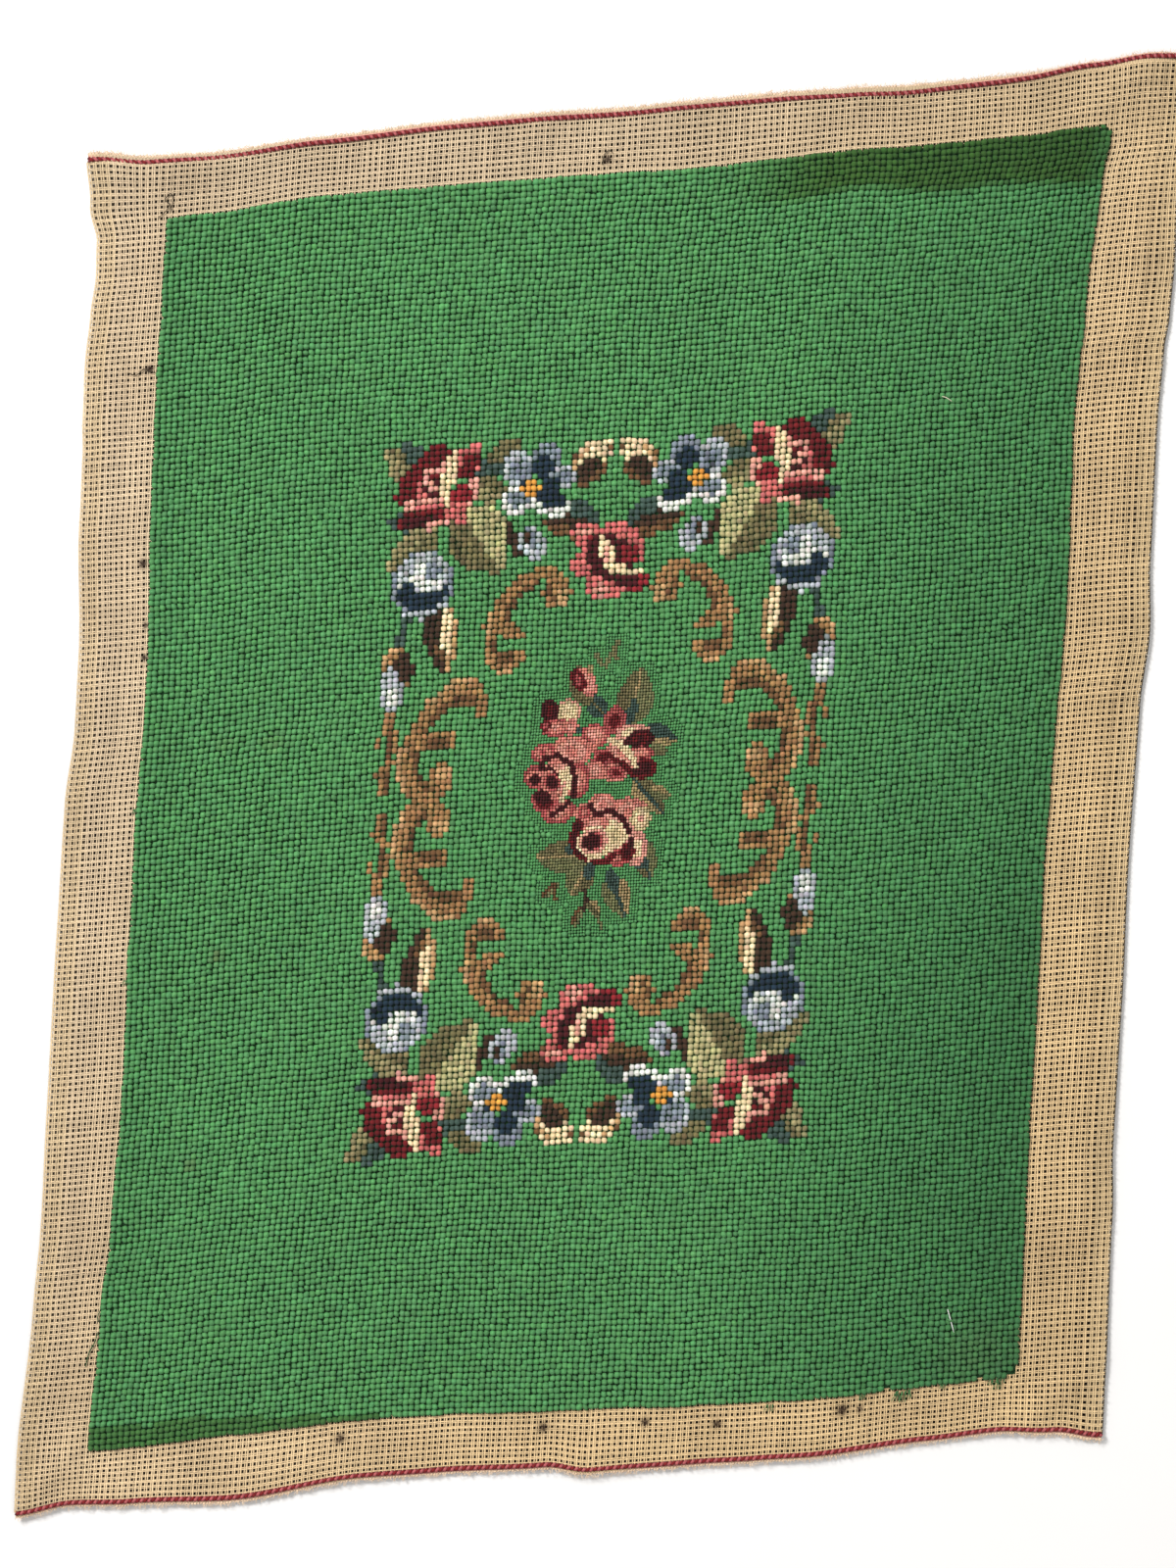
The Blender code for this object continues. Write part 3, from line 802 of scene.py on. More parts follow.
LOWER_ROSE = (
    (petals, 0.5, 2.5, 2.6, 2, ("pink", "blush", "pink"), 0, 0.2, -0.2),
    (petals, -2.5, 3.5, 1.9, 1.6, ("pink", "rose", "pink")),
    (petals, 5.5, 4, 3.5, 2.7, ("pink", "blush", "pink"), -20),
    (petals, 7.5, 5, 1.8, 2.2, ("straw", "cream", "blush")),
    (petals, 2.5, 7.5, 4.2, 3.7, ("blush", "cream", "straw"), -10, 0.2, 0.3),
    (petals, -0.5, 5.5, 2.8, 1.1, ("pink", "blush")),
    (petals, 7, 10, 2, 3.2, ("blush", "cream"), 0, 0.3, 0),
    (petals, 4, 11.5, 2.3, 1.4, ("rose", "pink")),
    (cord, ((-1.5, 2.5, 0.8), (-0.5, 4, 1), (2.5, 3.5, 0.9), (4.5, 5, 1),
            (5.5, 7, 1)), "wine"),
    (cord, ((-3.5, 5.5, 1.8), (-4, 7.5, 2.2), (-3, 10, 1.9), (-1, 11.5, 1.4),
            (2, 12, 1.1), (3, 11, 0.8)), "crimson"),
    (cord, ((-3.5, 5.5, 0.9), (-4, 7.5, 1), (-3, 10, 0.8)), "wine"),
    (petals, -0.5, 8.5, 3, 2.6, ("cream", "blush", "rose", "wine", "wine"), 0, -0.2, 0),
    (oval, -1, 8.5, 1.6, 1.4, "wine"),
    (cord, ((-1.5, 11.5, 0.7), (0.5, 11, 0.7), (2.5, 10, 0.8)), "cream"),
    (petals, 5.5, 10.5, 1.3, 1.7, ("crimson", "wine"), -10),
    (cord, ((6, 8.5, 0.9), (6, 9.5, 0.8)), "wine"),
)
BOUQUET_MIDDLE = (81.0, 104.5)
# the fine work has softer yarns of its own in place of some of the border's
FINE_YARNS = {"rose": "dusty", "pink": "shell", "sage": "moss", "sand": "hay", "straw": "oat"}
bouquet = {}
for motif in (BOUQUET_LEAVES, BUD, SMALL_ROSE, UPPER_ROSE, LEFT_ROSE, LOWER_ROSE):
    draw(bouquet, 0.5, motif, *BOUQUET_MIDDLE)
bouquet = {place: FINE_YARNS.get(yarn, yarn) for place, yarn in bouquet.items()}
print("fine stitches in the bouquet:", len(bouquet))

# %% Which meshes are worked fine
drawn = {(i // 2, j // 2) for i, j in bouquet}
fine = set()
for i, j in drawn:
    fine |= {(i + a, j + b) for a in (-1, 0, 1) for b in (-1, 0, 1)}
print("meshes worked fine:", len(fine))

# %% [markdown]
# ## One slanted stitch
# A tent stitch comes up at one hole and goes down at the next hole on the diagonal, here
# from upper left to lower right. Between the holes the wool swells into a plump bead
# with a dark gap at each end, partly from its shape and partly painted shade. Ten points
# make it: a tip at each hole and two cross sections of four. Each point's colour carries
# painted shade at the tips and low flanks and a painted highlight on top. Small random
# turns, sizes and heights keep the rows from looking machined.

# %% The stitch pattern
# along the stitch, across it (meshes), share of the full height, painted light: share of the yarn
# colour kept, shade at the tips and low flanks, highlight on top
STITCH = np.array((
    (-0.67, 0.00, 0.12, 0.62),
    (-0.28, -0.50, 0.26, 0.46),
    (-0.28, -0.21, 1.00, 1.06),
    (-0.28, 0.21, 1.00, 1.16),
    (-0.28, 0.50, 0.34, 0.74),
    (0.28, -0.50, 0.26, 0.38),
    (0.28, -0.21, 1.00, 1.00),
    (0.28, 0.21, 1.00, 1.06),
    (0.28, 0.50, 0.34, 0.64),
    (0.67, 0.00, 0.10, 0.30),
))
# slant in degrees, and how much single stitches vary from one another
SLANT = 43.0
SLANT_SPREAD = 10.0
LENGTH_SPREAD = 0.06
WIDTH_SPREAD = 0.09
RISE_SPREAD = 0.09
HIGHEST = 1.08
JITTER = 0.05
SWAY = 0.10
# in the painted shade of a stitch, red and blue fade faster than green
SHADOW_TINT = np.array((1.35, 0.88, 1.2))
STITCH_FACES = np.array((
    (0, 1, 2), (0, 2, 3), (0, 3, 4),
    (1, 5, 6), (1, 6, 2), (2, 6, 7), (2, 7, 3), (3, 7, 8), (3, 8, 4),
    (9, 8, 7), (9, 7, 6), (9, 6, 5),
))


def copies(pattern, points_each, count):
    """The faces of a small pattern, repeated for many copies of its points."""
    return (pattern[None] + points_each * np.arange(count)[:, None, None]).reshape(-1, 3)


def sway(middle):
    """Slow wavering of the rows and columns of stitches, in meshes."""
    column, row = middle.T
    across = np.sin(row / 2.3 + 2.0 * np.sin(column / 6.0)) * np.sin(column / 4.1 + row / 9.0)
    down = np.sin(column / 2.1 + 2.0 * np.sin(row / 7.0)) * np.sin(row / 5.3 - column / 8.0)
    return SWAY * np.stack([across, down], axis=-1)


def stitches(middle, size, base, top, yarn):
    """Points, faces, places and point colours of stitches at middles given in meshes."""
    count = len(middle)
    turn = math.radians(SLANT) + np.radians(RANDOM.normal(0.0, SLANT_SPREAD, (count, 1)))
    long = size * vary(LENGTH_SPREAD, count, 1)
    wide = size * vary(WIDTH_SPREAD, count, 1)
    rise = vary(RISE_SPREAD, count, 1)
    middle = middle + RANDOM.normal(0.0, JITTER, (count, 2)) * size + sway(middle)
    s = STITCH[:, 0] * long
    w = STITCH[:, 1] * wide
    column = middle[:, :1] + s * np.cos(turn) + w * np.sin(turn)
    row = middle[:, 1:] + s * np.sin(turn) - w * np.cos(turn)
    swell = 0.12e-3 * np.sin(middle[:, :1] / 13.0 + 0.6) * np.sin(middle[:, 1:] / 17.0 + 0.9)
    height = base + (top + swell - base) * STITCH[:, 2] * np.minimum(rise, HIGHEST)
    points = lie(column, row, height)
    # painted shade at the tips and low flanks and a painted highlight on top of each stitch
    colour = (yarn[:, None] * STITCH[:, 3, None] ** SHADOW_TINT).reshape(-1, 3)
    faces = copies(STITCH_FACES, len(STITCH), count)
    return points, faces, np.stack([column, row], axis=-1), colour


# %% [markdown]
# ## Dye lots and darker sides
# Wool was bought as the work went on, so the green is not one green: a darker, browner lot
# was used along the top edge at the right and in a few rows low on the left. Strands
# also take dye a little differently, so every stitch varies by some per cent. The wool
# is also darker towards the right, most of all low down, and a little at the left.

# %% The colour of each stitch
OTHER_LOT = np.array((0.46, 0.41, 0.21))
BROWNED = light((96, 84, 56))
# column, row, half width, half height (meshes), strength
SMUDGES = (
    (152, 204, 7, 5, 0.16),
    (15.5, 127, 0.9, 0.9, 0.60),
    (13, 162, 0.9, 0.8, 0.55),
    (23, 92, 2.2, 1.4, 0.25),
    (14.5, 91, 1.8, 1.2, 0.22),
)
# the darker lot at the top: its first column, fade-in and depth, in meshes
LOT_FROM = 90.0
LOT_FADE = 24.0
LOT_DEPTH = 7.0
# the darker lot low on the left: its strength, depth, loss of depth per column and the
# column where it steps up again
LOW_LOT = 0.75
LOW_DEPTH = 4.4
LOW_THINNING = 0.10
LOW_STEP = 11.0
# darkening at the left, at the right, and more at the right low down
DULL_LEFT = 0.10
DULL_RIGHT = 0.22
DULL_LOW_RIGHT = 0.16


def other_lot(column, row):
    """Share of the darker, browner lot of green at each mesh."""
    depth = LOT_DEPTH + 0.06 * np.maximum(column - 120.0, 0.0) + 0.5 * np.sin(column / 4.0)
    upper = ease((column - LOT_FROM) / LOT_FADE) * ease((depth - row) / 2.4 + 0.5)
    upper = upper * (1.0 - 0.3 * ease((column - 156.0) / 3.0))
    depth = LOW_DEPTH - LOW_THINNING * np.where(column < LOW_STEP, column, column - LOW_STEP)
    return np.maximum(upper, LOW_LOT * (row > ROWS - depth))


def side_darkening(column, row):
    """Share of colour kept: darker towards the right, most of all low down, and a little at the
    left.
    """
    right = np.clip((column - 105.0) / 55.0, 0.0, 1.0)
    left = np.clip((10.0 - column) / 10.0, 0.0, 1.0)
    low = ease((row - 90.0) / 60.0)
    return 1.0 - right * (DULL_RIGHT + DULL_LOW_RIGHT * low) - DULL_LEFT * left


def strand_colours(names, column, row):
    """Yarn colours of stitches, with lots, darker sides, smudges and a little unevenness."""
    colour = np.array([YARNS[name] for name in names])
    green = np.array([name == "green" for name in names])
    lot = other_lot(column, row)[:, None]
    colour = np.where(green[:, None], colour * (1 - lot + OTHER_LOT * lot), colour)
    kept = side_darkening(column, row)[:, None]
    colour = colour * kept * (1.0 - (1.0 - kept) * np.array((0.35, 0.0, 0.0)))
    for at_column, at_row, half_width, half_height, strength in SMUDGES:
        away = ((column - at_column) / half_width) ** 2 + ((row - at_row) / half_height) ** 2
        share = strength * np.exp(-away)[:, None]
        colour = mix(colour, BROWNED, share)
    spread = np.where(green, 0.08, 0.17)
    colour = colour * (1.0 + RANDOM.normal(0.0, 1.0, len(names)) * spread)[:, None]
    colour = colour * vary(0.03, len(names), 3)
    return np.clip(colour, 0.004, 0.95)


# %% Coarse stitches: the green ground and the garland
# row, first column, last column left unworked at the ragged edges
UNWORKED = (
    (0, 159, 159),
    (208, 137, 137),
    (208, 153, 153),
    (208, 158, 159),
    (207, 159, 159),
)
bare = {(i, j) for j, first, last in UNWORKED for i in range(first, last + 1)}
ground = [(i, j) for j in range(ROWS) for i in range(COLUMNS)
          if (i, j) not in fine and (i, j) not in garland and (i, j) not in bare]
worked = [key for key in garland if key not in fine]
BANDS = 3


def lay_coarse(name, keys, names):
    """A piece of coarse stitches at chart meshes."""
    middle = np.array(keys, dtype=float) + 0.5
    colour = strand_colours(names, middle[:, 0], middle[:, 1])
    made = stitches(middle, 1.0, STITCH_ROOT, WOOL_TOP, colour)
    return cloth_piece(name, WOOL, [made])


wool_pieces = []
for band in range(BANDS):
    first, last = band * ROWS / BANDS, (band + 1) * ROWS / BANDS
    keys = [key for key in ground if first <= key[1] < last]
    wool_pieces.append(lay_coarse(f"green_ground_{band + 1}", keys, ["green"] * len(keys)))
wool_pieces.append(lay_coarse("garland", worked, [garland[key] for key in worked]))

# %% Fine stitches: the bouquet and its green surround
quarters = [(2 * i + a, 2 * j + b) for i, j in sorted(fine) for a in (0, 1) for b in (0, 1)]
middle = (np.array(quarters, dtype=float) + 0.5) / 2.0
colour = strand_colours([bouquet.get(key, "green") for key in quarters], *middle.T)
made = stitches(middle, 0.5, STITCH_ROOT, WOOL_TOP - FINE_DROP, colour)
wool_pieces.append(cloth_piece("bouquet", PETIT_WOOL, [made]))

# %% [markdown]
# ## The double-thread canvas
# The canvas has its threads in pairs both ways. The up-and-down pair is parted by a fine
# slit, the cross pair lies close, and between the pairs are the open holes that the
# needle uses. Each thread here is a ribbon with a raised middle that goes over and under
# at every crossing, with two stations to a mesh. Where the wool covers the cloth, a
# plain dark green sheet stands in for the threads, as painted shade for the gaps between stitches.

# %% Thread sizes, in meshes and metres
UPRIGHT_APART = 0.18
UPRIGHT_HALF = 0.132
CROSS_APART = 0.14
CROSS_HALF = 0.13
CROSS_DROP = 0.09e-3
THREAD_CREST = 0.34e-3
# painted shade on the two edges of a thread and a painted highlight on its crest
THREAD_LIGHT = np.array((0.34, 1.20, 0.42))
HEM_DROP = 0.75e-3
# painted shade on the turned-under layer of the hems, as it lies under the first layer
HEM_LIGHT = 0.16
WEAVE_LIFT = 0.10e-3
UNDER_WOOL = 0.9
# columns where the hem's edge has pushed the upright threads apart, and how far
FOLDS = (LEFT + 3.5, RIGHT - 3.0)
FOLD_GAP = 0.10
TOP_BAND = 1.7
BOTTOM_BAND = 1.3
COTTON_SHADE = light((224, 200, 166))
WARM_SHADE = light((229, 198, 149))
HEM_SHADE = light((218, 192, 148))
SOIL_SHADE = light((150, 124, 92))
RUST_SHADE = light((46, 27, 16))
# column, row, radius (meshes), strength, and whether it is rust or only soil
STAINS = (
    (-1.4, 25.5, 0.7, 0.95, True),
    (-1.1, 58.5, 0.8, 0.98, True),
    (-0.6, 69, 0.5, 0.90, True),
    (-0.6, 74.5, 0.5, 0.95, True),
    (-0.9, 84, 0.4, 0.80, True),
    (74.5, -2.5, 0.8, 0.80, True),
    (43.5, 212, 0.9, 0.90, True),
    (78.5, 212, 0.9, 0.95, True),
    (96, 211.5, 0.8, 0.85, True),
    (108.5, 212.5, 0.8, 0.90, True),
    (130, 211.5, 1.1, 0.98, True),
    (133, 211.7, 0.7, 0.60, True),
    (22, 214, 5, 0.10, False),
    (58, 214.5, 5, 0.10, False),
    (88, 213, 4, 0.10, False),
    (118, 214, 5, 0.10, False),
    (150, 213, 6, 0.12, False),
    (166, 190, 7, 0.25, False),
    (-6, 196, 5, 0.22, False),
    (4, -6, 4, 0.20, False),
)
# painted shade: the dark green that shows in the gaps between stitches, on the sheet under the wool
PAINTED_GAP_SHADE = light((14, 52, 20))
# painted shade at the top end of the canvas and painted light at its bottom end
END_LIGHT = 0.09


def cotton_colour(column, row):
    """Colour of the bare canvas: warmer to the lower right, yellower hems, soil and rust, with
    painted shade at the top end and painted light at the bottom end.
    """
    from_side = np.minimum(column - LEFT, RIGHT - column)
    hem = ease((HEM + 0.3 - from_side) / 0.5)[..., None]
    warmth = ease((column + 0.6 * row - 40.0) / 200.0)[..., None]
    colour = mix(COTTON_SHADE, WARM_SHADE, warmth)
    colour = mix(colour, HEM_SHADE, 0.5 * hem)
    soil = 0.5 + 0.5 * np.sin(column * 0.21 + 1.7 * np.sin(row * 0.13)) * np.sin(row * 0.17 + 0.4)
    soil = (0.20 * soil)[..., None]
    colour = mix(colour, SOIL_SHADE, soil)
    for at_column, at_row, radius, strength, rusty in STAINS:
        away = ((column - at_column) ** 2 + (row - at_row) ** 2) / radius ** 2
        share = strength * np.exp(-away)[..., None]
        colour = mix(colour, RUST_SHADE if rusty else SOIL_SHADE, share)
    # painted shade at the top end, painted light at the bottom end
    end = END_LIGHT * (ease((row - ROWS + 4.0) / 8.0) - ease((4.0 - row) / 8.0))
    return colour * (1.0 + end[..., None])


def wander(count, stations, size):
    """Slow sideways drift of threads along their length, in meshes."""
    phase = RANDOM.uniform(0.0, 6.28, (3, count, 1))
    rate = np.array((0.11, 0.37, 1.3))[:, None, None]
    share = np.array((1.0, 0.7, 0.5))[:, None, None]
    return size * (share * np.sin(rate * stations[None, None] + phase)).sum(axis=0)


def ribbons(lines, over, stations, half, upright, drop=0.0, drift=0.016):
    """Threads along stations: points, faces, places and colours of ribbons."""
    count, steps = len(lines), len(stations)
    middle = lines[:, None] + wander(count, stations, drift)
    girth = half * (1.0 + RANDOM.normal(0.0, 0.10, (count, 1)) + wander(count, stations, 0.04))
    across = middle[..., None] + girth[..., None] * np.array((-1.0, 0.0, 1.0))
    length = np.broadcast_to(stations[None, :, None], across.shape)
    column, row = (across, length) if upright else (length, across)
    lift = canvas_height(column, row) - 0.12e-3 - drop
    lift = lift + WEAVE_LIFT * over[..., None] + THREAD_CREST * np.array((-1.0, 0.0, -1.0))
    points = lie(column, row, lift)
    start = (np.arange(count)[:, None] * steps + np.arange(steps - 1)[None]).reshape(-1, 1) * 3
    a = np.concatenate([start, start + 1], axis=1).reshape(-1, 1)
    quad = np.array((0, 3, 4, 1)) if upright else np.array((0, 1, 4, 3))
    # painted shade on threads of the turned-under hem layer
    under_light = HEM_LIGHT if drop >= HEM_DROP else 1.0
    # each thread's colour carries painted shade on its edges and a painted highlight on its crest
    colour = cotton_colour(column, row) * THREAD_LIGHT[:, None] * under_light
    colour = colour * vary(0.07, count, 1, 1, 1)
    colour = colour * vary(0.07, *colour.shape[:2], 1, 1)
    return points, a + quad, np.stack([column, row], axis=-1), colour.reshape(-1, 3)


def patch(first_column, last_column, first_row, last_row, upright, drop=0.0, shift=(0.0, 0.0)):
    """All the upright or all the cross threads of a rectangle of canvas."""
    columns = np.arange(math.ceil(first_column - 0.5), math.floor(last_column - 0.5) + 1) + 0.5
    rows = np.arange(math.ceil(first_row - 0.5), math.floor(last_row - 0.5) + 1) + 0.5
    pair = np.array((-1.0, 1.0))
    uprights = (columns[:, None] + UPRIGHT_APART * pair).ravel() + shift[0]
    for fold in FOLDS:
        away = uprights - fold
        uprights += FOLD_GAP * np.sign(away) * np.exp(-(away / 0.6) ** 2)
    crosses = (rows[:, None] + CROSS_APART * pair).ravel() + shift[1]
    parity = (np.arange(len(uprights))[:, None] + np.arange(len(crosses))[None]) % 2
    over = 1.0 - 2.0 * parity
    if upright:
        ends = np.concatenate([[first_row], crosses, [last_row]])
        return ribbons(uprights, np.pad(over, ((0, 0), (1, 1)), "edge"), ends, UPRIGHT_HALF,
                       True, drop)
    ends = np.concatenate([[first_column], uprights, [last_column]])
    return ribbons(crosses, np.pad(-over.T, ((0, 0), (1, 1)), "edge"), ends, CROSS_HALF,
                   False, drop + CROSS_DROP)


# %% The sheet under the wool, painted shade for the gaps between stitches
def grid(columns, rows, height, colour, downward=False):
    """A sheet over lines of meshes, with a height and a colour for each crossing."""
    column, row = np.meshgrid(columns, rows)
    points = lie(column, row, height(column, row))
    wide = len(columns)
    corner = (np.arange(len(rows) - 1)[:, None] * wide + np.arange(wide - 1)[None]).reshape(-1, 1)
    order = (0, 1, wide + 1, wide) if downward else (0, wide, wide + 1, 1)
    colours = np.broadcast_to(colour, column.shape + (3,)).reshape(-1, 3)
    places = np.stack([column, row], axis=-1).reshape(-1, 2)
    return points.reshape(-1, 3), corner + np.array(order), places, colours


GROUND_HEIGHT = WOOL_UNDER - 0.25e-3
under = grid(np.linspace(0.5, COLUMNS - 0.5, 81), np.linspace(0.5, ROWS - 0.5, 105),
             lambda column, row: GROUND_HEIGHT, PAINTED_GAP_SHADE)

# %% The threads of the margins
INNER_TOP = TOP + TOP_BAND
INNER_BOTTOM = BOTTOM - BOTTOM_BAND
LAST = COLUMNS - UNDER_WOOL
margins = (
    (LEFT, UNDER_WOOL, INNER_TOP, INNER_BOTTOM),
    (LAST, RIGHT, INNER_TOP, INNER_BOTTOM),
    (UNDER_WOOL, LAST, INNER_TOP, UNDER_WOOL),
    (UNDER_WOOL, LAST, ROWS - UNDER_WOOL, INNER_BOTTOM),
)
uprights = [patch(*area, True) for area in margins]
crosses = [patch(*area, False) for area in margins]
canvas = cloth_piece("canvas_upright_threads", COTTON, [under] + uprights)
cross_threads = cloth_piece("canvas_cross_threads", COTTON, crosses)

# %% [markdown]
# ## Hems
# The canvas was cut across its width, so its left and right edges would fray. They are
# turned under by three meshes. From above the second layer shows through the holes, half
# a mesh out of step, which makes the hem look closer and yellower than the rest. That
# layer is painted dark, as shade for lying under the first.

# %% The turned-under layer
HEM_STEP_OFF = (0.42, 0.5)
hems = []
for first, last in ((LEFT + 0.1, LEFT + HEM), (RIGHT - HEM + 0.3, RIGHT - 0.1)):
    for upright in (True, False):
        hems.append(patch(first, last, TOP + 1.0, BOTTOM - 1.0, upright, HEM_DROP, HEM_STEP_OFF))
hem_layer = cloth_piece("turned_hems", COTTON, hems)

# %% [markdown]
# ## Selvedges
# The top and bottom edges are the woven edges of the roll. Beyond a close band without
# holes runs a cord of two dark red strands twisted together, then a thin pink one, and
# outside them the cross threads turn back in a fuzzy row of loops.

# %% Selvedge sizes, in meshes from the edge
PINK_OUT = 0.52
CORD_SWING = 0.25
CORD_GIRTH = 0.26
RED_SHADE = light((118, 26, 30))
# the second strand of the twist is a dustier red than the first
PALER = np.array((2.2, 9.0, 7.5))
PINK_SHADE = light((222, 158, 142))
LIP_SHADE = light((224, 196, 166))
# edge, way inwards, middle of the cord, where the open weave starts
EDGES = (
    (TOP, 1.0, 1.35, TOP_BAND),
    (BOTTOM, -1.0, 1.12, BOTTOM_BAND),
)


def tube(column, row, height, girth, sides, yarn):
    """A strand through places of the cloth; girth is its radius in metres."""
    middle = lie(column, row, height)
    ahead = np.gradient(middle, axis=0)
    ahead /= np.linalg.norm(ahead, axis=1, keepdims=True)
    side = np.cross(ahead, np.array((0.0, 0.0, 1.0)))
    side /= np.linalg.norm(side, axis=1, keepdims=True)
    up = np.cross(side, ahead)
    angle = 2.0 * math.pi * np.arange(sides) / sides
    ring = side[:, None] * np.cos(angle)[None, :, None] + up[:, None] * np.sin(angle)[None, :, None]
    girth = np.broadcast_to(girth, column.shape)[:, None, None]
    points = middle[:, None] + ring * girth
    k = np.arange(len(column) - 1)[:, None] * sides
    a = np.arange(sides)[None]
    b = (a + 1) % sides
    faces = np.stack([k + a, k + b, k + b + sides, k + a + sides], axis=-1).reshape(-1, 4)
    places = np.repeat(np.stack([column, row], -1)[:, None], sides, axis=1)
    count = len(column) * sides
    yarn = np.repeat(np.broadcast_to(yarn, (len(column), 3)), sides, axis=0)
    colour = yarn * vary(0.06, count, 1)
    return points, faces, places, colour


# %% Red cords and pink strands
def cord_drift(column, inward):
    """How much further in the cord lies where the fuzzy lip shows, along the top."""
    drift = 0.35 * np.exp(-((column - 122.0) / 14.0) ** 2) - 0.5 * ease((column - 140.0) / 15.0)
    return drift * (inward > 0)


def selvedge_cord(edge, inward, cord_at):
    """Two strands that twist round each other along one edge, and the pink beside them."""
    column = np.arange(LEFT, RIGHT + 0.1, 0.25)
    level = canvas_height(column, np.full_like(column, edge))
    swing = CORD_SWING * (1.0 + 0.15 * np.sin(column / 9.0))
    parts = []
    for phase, shade in ((0.0, RED_SHADE), (math.pi, RED_SHADE * PALER)):
        turn = 1.5 * math.pi * column + phase
        row = edge + inward * (cord_at + cord_drift(column, inward) + swing * np.sin(turn))
        rise = level - 0.02e-3 + 0.32e-3 * np.cos(turn)
        girth = CORD_GIRTH * MESH_DOWN * (1.0 + 0.12 * np.cos(turn))
        # painted highlight where a strand rides on top of the twist, painted shade where it goes
        # under
        lit = (0.45 + 0.90 * np.clip(np.cos(turn), 0.0, 1.0) ** 2)[:, None]
        parts.append(tube(column, row, rise, girth, 5, shade * lit))
    row = edge + inward * (cord_at + cord_drift(column, inward) - PINK_OUT)
    parts.append(tube(column[::3], row[::3], level[::3] - 0.5e-3, 0.32e-3, 5, PINK_SHADE))
    return parts


cords = sum([selvedge_cord(*ends[:3]) for ends in EDGES], [])
red_cords = cloth_piece("selvedge_cords", SELVEDGE_YARN, cords)


# %% Close bands and the fuzzy lip
def close_band(edge, inward, band):
    """The band without holes, with a fine ridge for each thread of the pairs."""
    columns = np.arange(LEFT, RIGHT + 0.01, 0.25)
    rows = np.sort(edge + inward * np.linspace(0.5, band + 0.1, 5))

    def height(column, row):
        ridge = np.cos(4.0 * math.pi * (column - 0.05))
        return canvas_height(column, row) - 0.35e-3 + 0.14e-3 * ridge

    made = list(grid(columns, rows, height, COTTON_SHADE))
    column, row = made[2][:, 0], made[2][:, 1]
    # painted shade in the grooves and painted light on the ridges of the band
    shade = 0.74 + 0.20 * np.cos(4.0 * math.pi * (column - 0.05))
    made[3] = cotton_colour(column, row) * shade[:, None]
    return made


def lip_loops(edge, inward):
    """The loops in which the cross threads turn back."""
    column = np.arange(LEFT + 0.25, RIGHT, 0.5)
    count = len(column)
    reach = 0.42 + RANDOM.normal(0.0, 0.06, count)
    s = STITCH[:, 0] * 0.75 * vary(0.12, count, 1)
    w = STITCH[:, 1] * 0.56
    columns = column[:, None] + w * inward + 0.1 * s
    rows = edge + inward * reach[:, None] - s * 0.7
    level = canvas_height(column, np.full(count, edge))[:, None] - 0.8e-3
    points = lie(columns, rows, level + 0.55e-3 * STITCH[:, 2])
    faces = copies(STITCH_FACES, len(STITCH), count)[:, ::int(inward)]
    shade = LIP_SHADE * vary(0.08, count, 1)
    # the loops carry the stitch's painted shade at the tips and flanks and painted highlight on top
    colour = (shade[:, None] * STITCH[:, 3, None]).reshape(-1, 3)
    return points, faces, np.stack([columns, rows], axis=-1), colour


bands = [close_band(edge, inward, band) for edge, inward, _, band in EDGES]
edge_bands = cloth_piece("selvedge_bands", COTTON, bands)
loops = [lip_loops(edge, inward) for edge, inward, _, _ in EDGES]
edge_loops = cloth_piece("selvedge_loops", COTTON, loops)

# %% [markdown]
# ## The back of the work
# Behind a slanted stitch the wool travels further, so the back is covered with upright
# cords, column by column, in the same yarns as the face. Here each column is one ridge
# that hangs down to the table, pinched a little unevenly where the wool enters the cloth.

# %% The back's cords
def face_yarn(i, j):
    """Yarn that shows at a chart mesh."""
    return bouquet.get((2 * i, 2 * j + 1), garland.get((i, j), "green"))


# one step of the grid spans about two rows, and half columns make valley, ridge, valley
BACK_STEPS = 104
BACK_VALLEY = 0.75e-3
BACK_RIDGE = 0.72e-3
PINCH = 0.10e-3


def back_height(column, row):
    """Underside of the back wool: ridges down, valleys up."""
    ridge = np.abs(np.sin(math.pi * column))
    return BACK_VALLEY - BACK_RIDGE * ridge + PINCH * RANDOM.random(column.shape)


half_columns = np.arange(0.0, COLUMNS + 0.1, 0.5)
points, faces, places, colour = grid(half_columns, np.linspace(0.0, ROWS, BACK_STEPS + 1),
                                     back_height, PAINTED_GAP_SHADE, True)
cell = [(i, 2 * j + i % 2) for j in range(BACK_STEPS) for i in range(COLUMNS)]
tint = strand_colours([face_yarn(i, j) for i, j in cell], *np.array(cell, dtype=float).T) * 0.9
tint = np.repeat(tint, 8, axis=0)
back = cloth_piece("back_cords", BACK_WOOL, [(points, faces, places, tint)])

# %% [markdown]
# ## What years of handling left
# A few loose things tell the panel's age: dark tacking threads still caught in the
# margin, short tufts of green along the lower edge, a fleck of lint, and fuzz along the
# edges and at the rust marks where the panel was pinned out.

